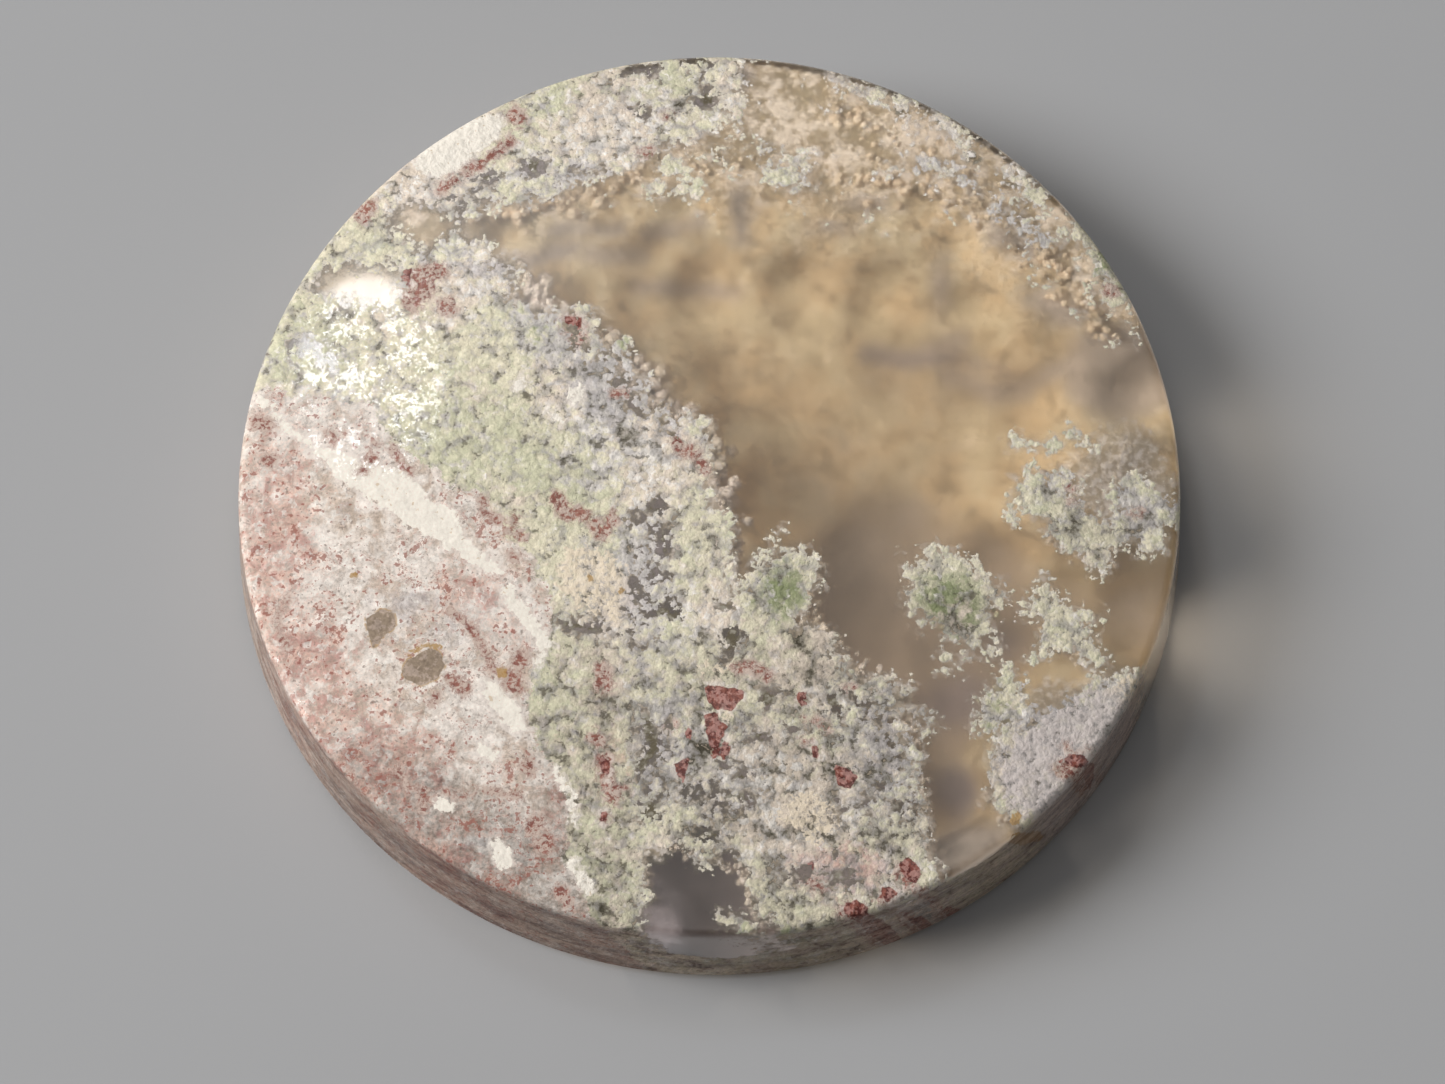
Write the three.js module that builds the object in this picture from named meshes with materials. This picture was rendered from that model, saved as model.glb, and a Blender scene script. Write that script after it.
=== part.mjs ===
// A round moss agate cabochon: one polished stone with a flat back and a low dome.
// Millimetres, +Z up. The origin is the centre of the flat back, which the stone rests on.
import * as THREE from "three";

// Driving dimensions
const DIAMETER = 30; // across the widest line, just above the back
const THICKNESS = 5; // from the back to the crown of the dome
const DOME_RISE = 1.1; // how far the crown stands above the brow
const BACK_BEVEL = 0.35; // the ground-off edge round the back
const WALL_LEAN = 0.12; // how far the wall draws in from its foot to its top
const BROW_RADIUS = 0.3; // rounding where the wall turns into the dome

// The outline was held by hand against the wheel, so it is a little out of round.
const LOBES = 3;
const LOBE_DEPTH = 0.05;
const LOBE_TURN = THREE.MathUtils.degToRad(204);

const FACETS_ROUND = 120;
const BROW_STEPS = 6;
const DOME_STEPS = 14;

const FOOT_RADIUS = DIAMETER / 2;
const BROW_REACH = FOOT_RADIUS - WALL_LEAN;
const BROW_HEIGHT = THICKNESS - DOME_RISE;

// The dome is part of a sphere that passes through the crown and the brow.
const DOME_RADIUS = (BROW_REACH ** 2 + DOME_RISE ** 2) / (2 * DOME_RISE);
const domeHeight = (radius) =>
  THICKNESS - DOME_RADIUS + Math.sqrt(DOME_RADIUS ** 2 - radius ** 2);

// Half of the section, from the back's centre round the edge to the crown
function section() {
  const half = new THREE.Path();
  half.moveTo(0, 0);
  half.lineTo(FOOT_RADIUS - BACK_BEVEL, 0);
  half.lineTo(FOOT_RADIUS, BACK_BEVEL);
  half.lineTo(BROW_REACH, BROW_HEIGHT - BROW_RADIUS);

  const domeStart = BROW_REACH - BROW_RADIUS;
  const points = half.getPoints();
  const brow = new THREE.QuadraticBezierCurve(
    new THREE.Vector2(BROW_REACH, BROW_HEIGHT - BROW_RADIUS),
    new THREE.Vector2(BROW_REACH, BROW_HEIGHT),
    new THREE.Vector2(domeStart, domeHeight(domeStart)),
  );
  points.push(...brow.getPoints(BROW_STEPS).slice(1));

  for (let step = 1; step <= DOME_STEPS; step++) {
    const radius = domeStart * (1 - step / DOME_STEPS);
    points.push(new THREE.Vector2(radius, domeHeight(radius)));
  }
  return points;
}

// Moves each vertex in or out by the hand-cut lobes, less towards the middle
function cutByHand(geometry) {
  const place = geometry.getAttribute("position");
  for (let i = 0; i < place.count; i++) {
    const angle = Math.atan2(place.getY(i), place.getX(i));
    const lobe = LOBE_DEPTH * Math.cos(LOBES * angle - LOBE_TURN);
    const scale = 1 + lobe / FOOT_RADIUS;
    place.setXY(i, place.getX(i) * scale, place.getY(i) * scale);
  }
  geometry.computeVertexNormals();
  return geometry;
}

function stoneGeometry() {
  const turned = new THREE.LatheGeometry(section(), FACETS_ROUND);
  turned.rotateX(Math.PI / 2); // the lathe turns about Y, and the stone stands on Z
  return cutByHand(turned);
}

const agate = new THREE.MeshStandardMaterial({
  color: 0xb3a890,
  roughness: 0.12,
  metalness: 0,
});

const stone = new THREE.Mesh(stoneGeometry(), agate);
stone.name = "stone";

const cabochon = new THREE.Group();
cabochon.add(stone);

export default cabochon;
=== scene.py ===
"""A round moss agate cabochon, polished all over and lying on its flat back.

The stone is clear brown-grey chalcedony. Sage and cream moss and speckled pink jasper reach its
polish over most of the dome. In the rest, moss that lies deeper is seen through the chalcedony.
Lengths are in metres unless a name ends in _mm, and marks are placed by pixels of the photograph.
"""
import logging
import math
import random
from dataclasses import dataclass, field
from enum import Enum
from typing import Sequence

import bmesh
import bpy
import numpy as np
from mathutils import Matrix, Vector, noise


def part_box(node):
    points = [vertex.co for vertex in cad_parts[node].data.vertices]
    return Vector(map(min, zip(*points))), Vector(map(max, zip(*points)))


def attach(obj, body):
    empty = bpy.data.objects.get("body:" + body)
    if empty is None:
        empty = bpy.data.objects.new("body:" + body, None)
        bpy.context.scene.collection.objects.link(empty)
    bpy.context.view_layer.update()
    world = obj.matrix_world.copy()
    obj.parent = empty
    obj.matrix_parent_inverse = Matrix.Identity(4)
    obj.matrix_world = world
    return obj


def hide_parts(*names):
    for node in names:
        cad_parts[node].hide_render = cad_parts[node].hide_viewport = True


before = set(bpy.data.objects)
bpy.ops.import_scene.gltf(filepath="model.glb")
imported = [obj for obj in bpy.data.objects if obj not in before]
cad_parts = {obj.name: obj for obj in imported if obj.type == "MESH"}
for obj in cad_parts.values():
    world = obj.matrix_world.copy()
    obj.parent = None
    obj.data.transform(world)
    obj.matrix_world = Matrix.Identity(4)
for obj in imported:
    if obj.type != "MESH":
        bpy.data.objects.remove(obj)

LOG = logging.getLogger("cabochon")
MM = 0.001

Colour = tuple[float, float, float]
Point = tuple[float, float]


def shade(red: int, green: int, blue: int) -> Colour:
    """Turns a colour as a screen shows it into a linear one.

    Args:
        red: Red from 0 to 255.
        green: Green from 0 to 255.
        blue: Blue from 0 to 255.

    Returns:
        The linear red, green and blue, from 0 to 1.
    """
    shown = (red / 255, green / 255, blue / 255)
    return tuple(c / 12.92 if c <= 0.04045 else ((c + 0.055) / 1.055) ** 2.4 for c in shown)


# The stone and the photograph


@dataclass(frozen=True)
class StoneForm:
    """The ground and polished outside of the stone.

    Attributes:
        radius: From the axis to the widest line.
        thickness: From the back to the crown.
        dome_rise: How far the crown stands above the brow.
        back_bevel: The ground-off edge round the back.
        wall_lean: How far the wall draws in towards its top.
        brow_radius: Rounding where the wall turns into the dome.
        lobe_depth: How far the hand-held outline is out of round.
        lobes: How many times it swells round the stone.
        lobe_turn_deg: Where the first swelling lies.
    """

    radius: float = 15 * MM
    thickness: float = 5 * MM
    dome_rise: float = 1.1 * MM
    back_bevel: float = 0.35 * MM
    wall_lean: float = 0.12 * MM
    brow_radius: float = 0.3 * MM
    lobe_depth: float = 0.05 * MM
    lobes: int = 3
    lobe_turn_deg: float = 204

    @property
    def brow_reach(self) -> float:
        """How far the brow is from the axis."""
        return self.radius - self.wall_lean

    @property
    def brow_height(self) -> float:
        """How high the wall and the dome would meet if they weren't rounded."""
        return self.thickness - self.dome_rise

    def dome_height(self, reach: np.ndarray) -> np.ndarray:
        """Works out how high the dome is.

        Args:
            reach: Distances from the axis.

        Returns:
            The height of the dome's sphere above the back at each distance.
        """
        sphere = (self.brow_reach**2 + self.dome_rise**2) / (2 * self.dome_rise)
        inside = np.minimum(reach, self.brow_reach)
        return self.thickness - sphere + np.sqrt(sphere**2 - inside**2)

    def section(self, step: float) -> list[Point]:
        """Walks half of the section from the back's centre round the edge to the crown.

        Args:
            step: The longest distance between two points.

        Returns:
            Pairs of reach and height.
        """
        top_of_wall = self.brow_height - self.brow_radius
        dome_start = self.brow_reach - self.brow_radius
        start_height = float(self.dome_height(np.array(dome_start)))
        corners = [
            (0.0, 0.0),
            (self.radius - self.back_bevel, 0.0),
            (self.radius, self.back_bevel),
            (self.brow_reach, top_of_wall),
        ]
        points = [corners[0]]
        for (x0, z0), (x1, z1) in zip(corners, corners[1:]):
            parts = max(1, math.ceil(math.dist((x0, z0), (x1, z1)) / step))
            points += [
                (x0 + (x1 - x0) * i / parts, z0 + (z1 - z0) * i / parts) for i in range(1, parts + 1)
            ]
        brow_steps = 8
        for i in range(1, brow_steps + 1):
            t = i / brow_steps
            ends, middle = (1 - t) ** 2, 2 * t * (1 - t)
            points.append((
                (ends + middle) * self.brow_reach + t**2 * dome_start,
                ends * top_of_wall + middle * self.brow_height + t**2 * start_height,
            ))
        dome_steps = math.ceil(dome_start / step)
        reaches = dome_start * (1 - np.arange(1, dome_steps + 1) / dome_steps)
        points += list(zip(reaches.tolist(), self.dome_height(reaches).tolist()))
        return points

    def cut_by_hand(self, x: float, y: float) -> float:
        """Gives the scale that puts a turned point on the hand-held outline.

        Args:
            x: The point's place to the right.
            y: The point's place away from the viewer.

        Returns:
            What to multiply both by.
        """
        angle = math.atan2(y, x)
        lobe = self.lobe_depth * math.cos(self.lobes * angle - math.radians(self.lobe_turn_deg))
        return 1 + lobe / self.radius


@dataclass(frozen=True)
class PhotoView:
    """The photograph's camera, fitted to the stone's outline and its brow line.

    Attributes:
        width_px: Width of the photograph.
        height_px: Height of the photograph.
        focal_px: Focal length in pixels.
        distance: From the lens to the point that it looks at.
        elevation_deg: How far above the floor it stands.
        target: The point that it looks at.
        film: Width of the camera's film.
        bend: How far a ray goes sideways in the stone for each unit that it goes down.
    """

    width_px: int = 1445
    height_px: int = 1084
    focal_px: float = 9458
    distance: float = 0.3
    elevation_deg: float = 69.5
    target: tuple[float, float, float] = (0.37 * MM, -1.10 * MM, 2.0 * MM)
    film: float = 36
    bend: float = 0.233

    @property
    def px_per_mm(self) -> float:
        """How many pixels a millimetre takes where the camera looks."""
        return self.focal_px / self.distance * MM

    def stand(self) -> tuple[np.ndarray, np.ndarray, np.ndarray]:
        """Gives the lens's place, the direction back to it and the picture's upward direction."""
        rise = math.radians(self.elevation_deg)
        back = np.array((0.0, -math.cos(rise), math.sin(rise)))
        up = np.array((0.0, back[2], -back[1]))
        return np.array(self.target) + self.distance * back, back, up

    def project(self, places: np.ndarray) -> tuple[np.ndarray, np.ndarray]:
        """Finds where points show in the photograph.

        Args:
            places: Points, one a row.

        Returns:
            Their pixels to the right and down.
        """
        eye, back, up = self.stand()
        away = places - eye
        depth = -(away @ back)
        right_px = self.width_px / 2 + self.focal_px * away[:, 0] / depth
        down_px = self.height_px / 2 - self.focal_px * (away @ up) / depth
        return right_px, down_px

    def under_dome(self, right_px: float, down_px: float, depth: float, form: StoneForm) -> Vector:
        """Finds the point inside the stone that shows at a pixel.

        Args:
            right_px: Pixels to the right.
            down_px: Pixels down.
            depth: How far below the dome the point lies.
            form: The stone.

        Returns:
            The point.
        """
        eye, back, up = self.stand()
        ray = (
            -back
            + np.array((1.0, 0.0, 0.0)) * (right_px - self.width_px / 2) / self.focal_px
            - up * (down_px - self.height_px / 2) / self.focal_px
        )
        height = form.thickness
        for _ in range(4):
            hit = eye + ray * (height - eye[2]) / ray[2]
            height = float(form.dome_height(np.hypot(hit[0], hit[1])))
        return Vector((hit[0], hit[1] + self.bend * depth, height - depth))

    def make_camera(self) -> bpy.types.Object:
        """Makes the scene's camera.

        Returns:
            The camera's object.
        """
        data = bpy.data.cameras.new("camera")
        data.sensor_width = self.film
        data.lens = self.film * self.focal_px / self.width_px
        data.dof.use_dof = False
        camera = bpy.data.objects.new("camera", data)
        eye, back, _ = self.stand()
        camera.location = eye
        camera.rotation_euler = Vector(-back).to_track_quat("-Z", "Y").to_euler()
        bpy.context.collection.objects.link(camera)
        bpy.context.scene.camera = camera
        return camera


# Marks on the stone, in pixels of the photograph


@dataclass(frozen=True)
class Spot:
    """An oval mark.

    Attributes:
        x: Pixels to the right of its middle.
        y: Pixels down of its middle.
        reach: Half of its width.
        rise: Half of its height, or the same as reach if it is 0.
        turn_deg: How far it leans, clockwise.
    """

    x: float
    y: float
    reach: float
    rise: float = 0
    turn_deg: float = 0

    def depth_in(self, u: np.ndarray, v: np.ndarray) -> np.ndarray:
        """Measures how far points are inside the mark.

        Args:
            u: Pixels to the right.
            v: Pixels down.

        Returns:
            Distances in pixels to its edge, below 0 outside.
        """
        turn = math.radians(self.turn_deg)
        along = (u - self.x) * math.cos(turn) + (v - self.y) * math.sin(turn)
        across = (v - self.y) * math.cos(turn) - (u - self.x) * math.sin(turn)
        rise = self.rise or self.reach
        return (1 - np.hypot(along / self.reach, across / rise)) * min(self.reach, rise)


@dataclass(frozen=True)
class Streak:
    """A mark that follows a line.

    Attributes:
        path: Pixels that it passes through.
        half_width: From the line to the mark's edge, in pixels.
    """

    path: Sequence[Point]
    half_width: float

    def depth_in(self, u: np.ndarray, v: np.ndarray) -> np.ndarray:
        """Measures how many pixels points are inside the mark."""
        return self.half_width - distance_to_path(self.path, u, v)


@dataclass(frozen=True)
class Patch:
    """A mark inside a closed outline.

    Attributes:
        outline: Pixels round its edge.
    """

    outline: tuple[Point, ...]

    def depth_in(self, u: np.ndarray, v: np.ndarray) -> np.ndarray:
        """Measures how far points are inside the mark.

        Args:
            u: Pixels to the right.
            v: Pixels down.

        Returns:
            Distances in pixels to its edge, below 0 outside.
        """
        closed = (*self.outline, self.outline[0])
        inside = np.zeros(u.shape, bool)
        for (x0, y0), (x1, y1) in zip(closed, closed[1:]):
            if y0 != y1:
                crosses = (y0 > v) != (y1 > v)
                inside ^= crosses & (u < x0 + (v - y0) * (x1 - x0) / (y1 - y0))
        distance = distance_to_path(closed, u, v)
        return np.where(inside, distance, -distance)


Mark = Spot | Streak | Patch


def spots(*rows: tuple[float, ...]) -> tuple[Spot, ...]:
    """Makes ovals, each from its x, y, reach, rise and turn."""
    return tuple(Spot(*row) for row in rows)


def streaks(*rows: tuple[float | Point, ...]) -> tuple[Streak, ...]:
    """Makes streaks, each from its half width and its path."""
    return tuple(Streak(path, half_width) for half_width, *path in rows)


def patches(*rows: tuple[Point, ...]) -> tuple[Patch, ...]:
    """Makes patches, each from its outline."""
    return tuple(Patch(row) for row in rows)


def distance_to_path(path: Sequence[Point], u: np.ndarray, v: np.ndarray) -> np.ndarray:
    """Measures how far points are from a line.

    Args:
        path: The line's pixels.
        u: Pixels to the right.
        v: Pixels down.

    Returns:
        Distances in pixels.
    """
    nearest = np.full(u.shape, np.inf)
    for (x0, y0), (x1, y1) in zip(path, path[1:]):
        length = max((x1 - x0) ** 2 + (y1 - y0) ** 2, 1e-9)
        along = np.clip(((u - x0) * (x1 - x0) + (v - y0) * (y1 - y0)) / length, 0, 1)
        gone = np.hypot(u - x0 - along * (x1 - x0), v - y0 - along * (y1 - y0))
        nearest = np.minimum(nearest, gone)
    return nearest


def deepest(marks: Sequence[Mark], u: np.ndarray, v: np.ndarray) -> np.ndarray:
    """Measures how far points are inside any of some marks.

    Args:
        marks: The marks.
        u: Pixels to the right.
        v: Pixels down.

    Returns:
        Distances in pixels to the edge of the mark that holds each point, below 0 outside all.
    """
    return np.maximum.reduce([mark.depth_in(u, v) for mark in marks])


# Where no moss reaches the polish, clockwise from the left tip of the large window
WINDOW = Patch((
    (470, 214), (492, 203), (521, 203), (554, 199), (580, 180), (617, 175), (634, 163), (652, 152),
    (690, 142), (716, 120), (728, 108), (722, 96), (744, 88), (752, 74), (740, 62), (762, 50),
    (770, 36), (940, 60), (1060, 130), (1250, 300), (1250, 640), (1146, 668), (1096, 680), (1060, 704),
    (1010, 730), (992, 752), (990, 790), (1003, 812), (1020, 838), (1046, 830), (1070, 812),
    (1150, 830), (1040, 960), (950, 940), (947, 884), (930, 862), (929, 826), (926, 800), (913, 784),
    (921, 753), (895, 722), (912, 690), (878, 681), (856, 674), (836, 659), (833, 637), (811, 622),
    (790, 622), (790, 614), (808, 612), (805, 600), (803, 590), (815, 585), (816, 556), (798, 546),
    (780, 556), (760, 558), (750, 573), (740, 588), (728, 592), (729, 570), (727, 543), (727, 520),
    (713, 512), (704, 495), (702, 484), (714, 470), (708, 441), (706, 422), (687, 418), (670, 424),
    (670, 405), (647, 402), (647, 378), (631, 374), (624, 344), (604, 347), (590, 340), (599, 317),
    (583, 312), (541, 312), (525, 305), (507, 297), (518, 284), (523, 259), (505, 258), (488, 256),
    (484, 244), (468, 240), (462, 232), (466, 222),
))
FRONT_WINDOW = Patch((
    (644, 838), (661, 840), (682, 841), (694, 854), (700, 863), (719, 861), (725, 852), (736, 854),
    (744, 865), (753, 866), (749, 886), (753, 898), (758, 912), (774, 922), (790, 1010), (640, 1010),
    (643, 880),
))
SIDE_WINDOWS = patches(
    (
        (392, 212), (405, 198), (425, 200), (446, 206), (456, 222), (452, 240), (436, 250),
        (412, 246), (396, 232),
    ),
    (
        (313, 289), (326, 271), (347, 268), (376, 265), (402, 267), (401, 290), (393, 312),
        (360, 306), (326, 298),
    ),
)

# Narrow clefts between clumps of moss, painted dark as shade
CLEFTS = (
    *streaks(
        (7, (290, 352), (312, 348), (332, 364)), (3, (642, 508), (664, 509)),
        (3.5, (663, 534), (665, 552)), (2.5, (656, 564), (650, 588), (652, 612)),
        (6, (660, 612), (678, 616)), (4, (566, 624), (600, 629), (630, 631)),
        (7, (646, 720), (654, 748), (640, 766)), (5, (702, 838), (714, 836)),
        (4, (836, 876), (852, 874)),
    ),
    *spots(
        (731, 640, 10, 15, 20), (725, 606, 8, 5), (767, 699, 10, 9), (833, 702, 12, 7),
        (782, 727, 10, 4), (761, 736, 9, 7), (741, 777, 8, 6), (737, 797, 17, 6), (650, 812, 12, 13),
        (898, 807, 9, 5), (855, 810, 8, 5), (784, 873, 5, 4), (903, 894, 6, 8), (640, 113, 9, 6),
        (700, 62, 9, 7), (707, 100, 9, 9), (648, 70, 16, 4, -8), (534, 166, 9, 8), (487, 178, 7, 5),
        (900, 112, 9, 5, 20), (942, 122, 8, 6, 30), (972, 158, 12, 7, 30), (1012, 184, 8, 5, 30),
        (1104, 284, 5, 14, -25), (247, 352, 10, 5),
    ),
)

# Moss that reaches the polish inside the windows
ISLANDS = (
    *patches(
        (
            (902, 560), (914, 560), (924, 556), (934, 543), (942, 552), (958, 553), (968, 560),
            (990, 577), (1003, 586), (1008, 592), (1002, 602), (992, 604), (988, 622), (984, 632),
            (976, 648), (966, 651), (962, 640), (942, 632), (938, 620), (924, 626), (918, 614),
            (907, 606), (905, 592), (914, 584),
        ),
        (
            (1044, 578), (1052, 590), (1066, 600), (1082, 612), (1100, 616), (1078, 624), (1094, 636),
            (1103, 650), (1101, 664), (1086, 662), (1072, 652), (1064, 645), (1048, 656), (1030, 656),
            (1036, 640), (1040, 624), (1026, 616), (1030, 600),
        ),
        (
            (1016, 478), (1032, 470), (1044, 476), (1062, 470), (1078, 476), (1080, 488), (1068, 494),
            (1090, 508), (1098, 520), (1108, 522), (1120, 506), (1112, 494), (1124, 482), (1138, 474),
            (1152, 486), (1168, 496), (1186, 500), (1186, 522), (1164, 526), (1160, 548), (1148, 556),
            (1134, 544), (1116, 544), (1112, 556), (1102, 578), (1090, 568), (1082, 552), (1060, 548),
            (1050, 536), (1042, 520), (1036, 510), (1020, 508), (1014, 520), (1008, 508), (1014, 494),
        ),
        (
            (990, 690), (1002, 676), (1010, 668), (1016, 678), (1030, 680), (1024, 690), (1018, 700),
            (1034, 704), (1036, 714), (1022, 722), (1006, 724), (996, 734), (982, 728), (974, 712),
            (976, 696),
        ),
    ),
    *streaks(
        (4, (944, 656), (950, 666)), (3, (1012, 440), (1022, 442), (1028, 446)),
        (4, (1075, 432), (1078, 444), (1092, 446)), (4, (916, 712), (926, 716), (934, 722)),
        (3, (781, 536), (780, 548), (790, 552)), (5, (744, 923), (750, 931)),
        (6, (655, 186), (690, 190)), (6, (730, 92), (736, 120)),
        (11, (1080, 226), (1098, 252), (1120, 296)), (7, (1010, 172), (1040, 196)),
        (6, (930, 116), (960, 134)),
    ),
    *spots(
        (993, 652, 6, 5), (1053, 446, 5, 4), (924, 731, 4), (726, 919, 8, 6), (788, 175, 20, 11, 25),
        (800, 166, 9, 8), (925, 165, 16, 8, 10), (770, 150, 10, 6), (670, 168, 12, 8),
        (1000, 214, 10, 6, 30), (1040, 236, 14, 7, 20), (960, 176, 10, 7, 20), (868, 92, 22, 7, 24),
        (902, 104, 10, 6, 24),
    ),
)

# Jasper fills the lower left, and its edge against the moss runs down from the left rim.
JASPER = Patch((
    (200, 392), (262, 388), (300, 398), (316, 391), (347, 399), (372, 403), (386, 424), (388, 432),
    (413, 457), (424, 467), (445, 480), (474, 490), (501, 520), (507, 539), (530, 555), (534, 572),
    (549, 585), (554, 612), (555, 626), (547, 643), (539, 660), (532, 675), (527, 706), (534, 724),
    (537, 746), (555, 764), (567, 790), (570, 813), (567, 828), (564, 856), (575, 880), (587, 900),
    (600, 930), (620, 1010), (200, 1010),
))

# White veins, chalky patches, brown lenses, red grains, dark red shards and ochre specks
VEINS = (
    *patches(
        (
            (307, 446), (339, 451), (362, 464), (402, 467), (421, 486), (428, 499), (454, 512),
            (464, 535), (481, 552), (507, 575), (484, 570), (461, 555), (428, 536), (408, 525),
            (388, 509), (362, 495), (342, 482), (326, 462),
        ),
        ((484, 676), (501, 687), (520, 708), (528, 730), (512, 732), (492, 708), (484, 692)),
        (
            (415, 152), (425, 142), (450, 128), (488, 112), (503, 118), (500, 134), (486, 148),
            (468, 160), (456, 172), (436, 176), (420, 176),
        ),
    ),
    *streaks(
        (4, (262, 400), (284, 424), (312, 448)), (7, (506, 592), (527, 620), (543, 640)),
        (6, (484, 750), (492, 756)), (6, (440, 804), (452, 808)), (8, (498, 846), (504, 862)),
        (4, (548, 640), (538, 660)), (4, (556, 768), (570, 792), (574, 822)),
        (5, (572, 862), (590, 892)), (4, (552, 412), (560, 420)),
    ),
    *spots((576, 393, 8, 8), (520, 386, 5, 8, 30)),
)
CHALKS = (
    *patches(
        (
            (556, 566), (566, 550), (586, 546), (606, 556), (622, 566), (634, 580), (640, 600),
            (628, 612), (606, 616), (584, 612), (572, 598), (560, 590),
        ),
        (
            (1144, 672), (1098, 688), (1062, 712), (1018, 736), (1004, 756), (1004, 790), (1018, 812),
            (1040, 820), (1066, 802), (1094, 764), (1116, 722),
        ),
    ),
    *streaks((6, (728, 702), (726, 720))),
    *spots((812, 816, 26, 22, 20), (720, 668, 14, 8)),
)
LENSES = (
    *patches(
        ((366, 618), (382, 610), (394, 613), (395, 627), (384, 635), (374, 648), (368, 633)),
        (
            (402, 671), (407, 661), (430, 648), (440, 653), (445, 665), (438, 678), (419, 685),
            (405, 679),
        ),
    ),
    *spots((1068, 770, 12, 7, 10)),
)
REDS = (
    *streaks(
        (6, (676, 442), (682, 450), (694, 452)), (5, (700, 460), (706, 470)),
        (7, (556, 498), (566, 514), (584, 514)), (6, (594, 524), (602, 536), (614, 516)),
        (3, (510, 532), (516, 516)), (4, (482, 500), (486, 512), (498, 520)),
        (4, (392, 448), (402, 466), (412, 472)), (3, (806, 718), (816, 720), (828, 730)),
        (5, (736, 668), (752, 666), (768, 676)), (5, (804, 880), (822, 886)),
        (5, (914, 886), (928, 896)), (5, (590, 734), (600, 742)),
        (8, (604, 760), (606, 780), (612, 796)), (3, (398, 766), (396, 778), (404, 778)),
        (5, (424, 788), (422, 810)), (2, (444, 791), (462, 797), (478, 790), (498, 791), (520, 797)),
        (7, (450, 680), (458, 684), (464, 690)), (4, (451, 609), (475, 634), (487, 656), (493, 670)),
        (2.4, (291, 596), (281, 607), (277, 620), (281, 634), (288, 648)), (6, (560, 890), (566, 900)),
        (5, (511, 140), (486, 160), (468, 170)), (5, (456, 178), (440, 190)),
        (3, (1068, 486), (1076, 492), (1070, 500)), (3, (1130, 512), (1142, 514)),
    ),
    *spots(
        (421, 283, 15, 17), (413, 300, 11, 12), (436, 272, 12, 9), (448, 306, 10, 9),
        (572, 323, 12, 9), (578, 337, 9, 9), (616, 393, 6, 5), (626, 395, 5, 5), (519, 536, 7, 5, 20),
        (517, 556, 8, 5), (372, 458, 7, 6), (376, 446, 4, 3), (330, 434, 7, 4), (672, 725, 6, 4),
        (807, 740, 5, 4), (850, 688, 5, 3), (852, 912, 14, 10), (884, 898, 10, 7), (906, 876, 12, 13),
        (599, 680, 5, 10), (604, 676, 8, 14, -20), (603, 818, 5, 6, -30), (622, 790, 6, 4),
        (528, 768, 8, 10, 30), (411, 786, 5, 3), (434, 699, 5, 8, 20), (512, 682, 14, 10, 50),
        (520, 660, 9, 10), (350, 777, 7, 6), (362, 470, 6, 4), (262, 424, 12, 8), (270, 460, 8, 7),
        (534, 826, 8, 12, 30), (545, 842, 9, 12), (516, 116, 12, 8, 50), (364, 212, 9, 13, 40),
        (668, 115, 4, 3), (646, 152, 8, 6), (1110, 290, 8, 7, 40), (1088, 776, 10, 4, 5),
        (1070, 770, 15, 9, 8), (1082, 752, 9, 3), (1066, 748, 4, 5),
    ),
)
SHARDS = patches(
    ((704, 685), (744, 690), (742, 700), (730, 712), (722, 708), (714, 710), (708, 702)),
    (
        (703, 717), (715, 711), (721, 722), (730, 728), (724, 732), (720, 742), (718, 758),
        (712, 758), (708, 738),
    ),
    ((724, 740), (731, 745), (728, 758), (722, 760), (720, 748)),
    ((674, 764), (690, 756), (688, 768), (682, 786), (678, 776)),
    ((686, 724), (692, 730), (690, 742), (685, 736)),
    ((796, 692), (806, 692), (808, 704), (800, 708)),
    ((812, 744), (820, 748), (818, 760), (812, 756)),
    ((834, 764), (848, 768), (860, 778), (850, 790), (838, 786)),
    ((806, 860), (814, 860), (816, 870), (808, 873)),
    ((598, 752), (610, 762), (608, 778), (600, 770)),
    ((600, 812), (608, 812), (606, 824), (599, 822)),
    ((1058, 762), (1068, 755), (1084, 754), (1088, 762), (1078, 768)),
    ((842, 904), (856, 900), (870, 908), (860, 918), (846, 914)),
    ((898, 860), (910, 857), (922, 872), (916, 886), (904, 878)),
    ((880, 890), (890, 885), (897, 894), (886, 902)),
    ((564, 316), (582, 318), (580, 330), (568, 334)),
    ((400, 272), (412, 266), (410, 284), (402, 290)),
)
OCHRES = (
    *streaks((5, (1016, 816), (1012, 830)), (2, (408, 654), (430, 644), (440, 648))),
    *spots((623, 591, 4, 3), (589, 578, 4, 4), (1009, 834, 5, 6), (354, 576, 4, 4), (502, 672, 5, 6)),
)

# Soft areas of one tone
SAGES = spots(
    (300, 345, 60, 40, -20), (460, 440, 75, 60, 20), (590, 100, 90, 34, -14),
    (540, 470, 60, 40, 30), (600, 870, 36, 90), (548, 690, 22, 60),
)
GREENS = spots(
    (950, 608, 38, 34, 30), (538, 330, 16, 10, 40), (620, 350, 6, 10), (780, 590, 30, 30),
    (995, 708, 14, 22), (1100, 262, 12, 24, -35), (760, 940, 60, 16),
)
LAVENDERS = spots(
    (489, 272, 34, 16), (610, 380, 46, 36, 40), (690, 428, 30, 22, 40), (1062, 752, 92, 62, -42),
    (1132, 500, 44, 30, 20), (1066, 480, 26, 18), (372, 600, 26, 34, 20), (345, 512, 44, 22, 30),
    (458, 640, 18, 44, -20), (400, 704, 60, 20, -10), (480, 830, 36, 30), (784, 176, 30, 16, 20),
    (925, 165, 22, 12), (885, 750, 34, 50), (680, 760, 26, 22), (640, 600, 24, 60),
    (560, 190, 60, 14, -10), (360, 390, 50, 16, 10), (1010, 230, 80, 34, 40),
    (425, 620, 60, 50, 20), (660, 740, 26, 50), (560, 330, 50, 30, 40),
)
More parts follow.
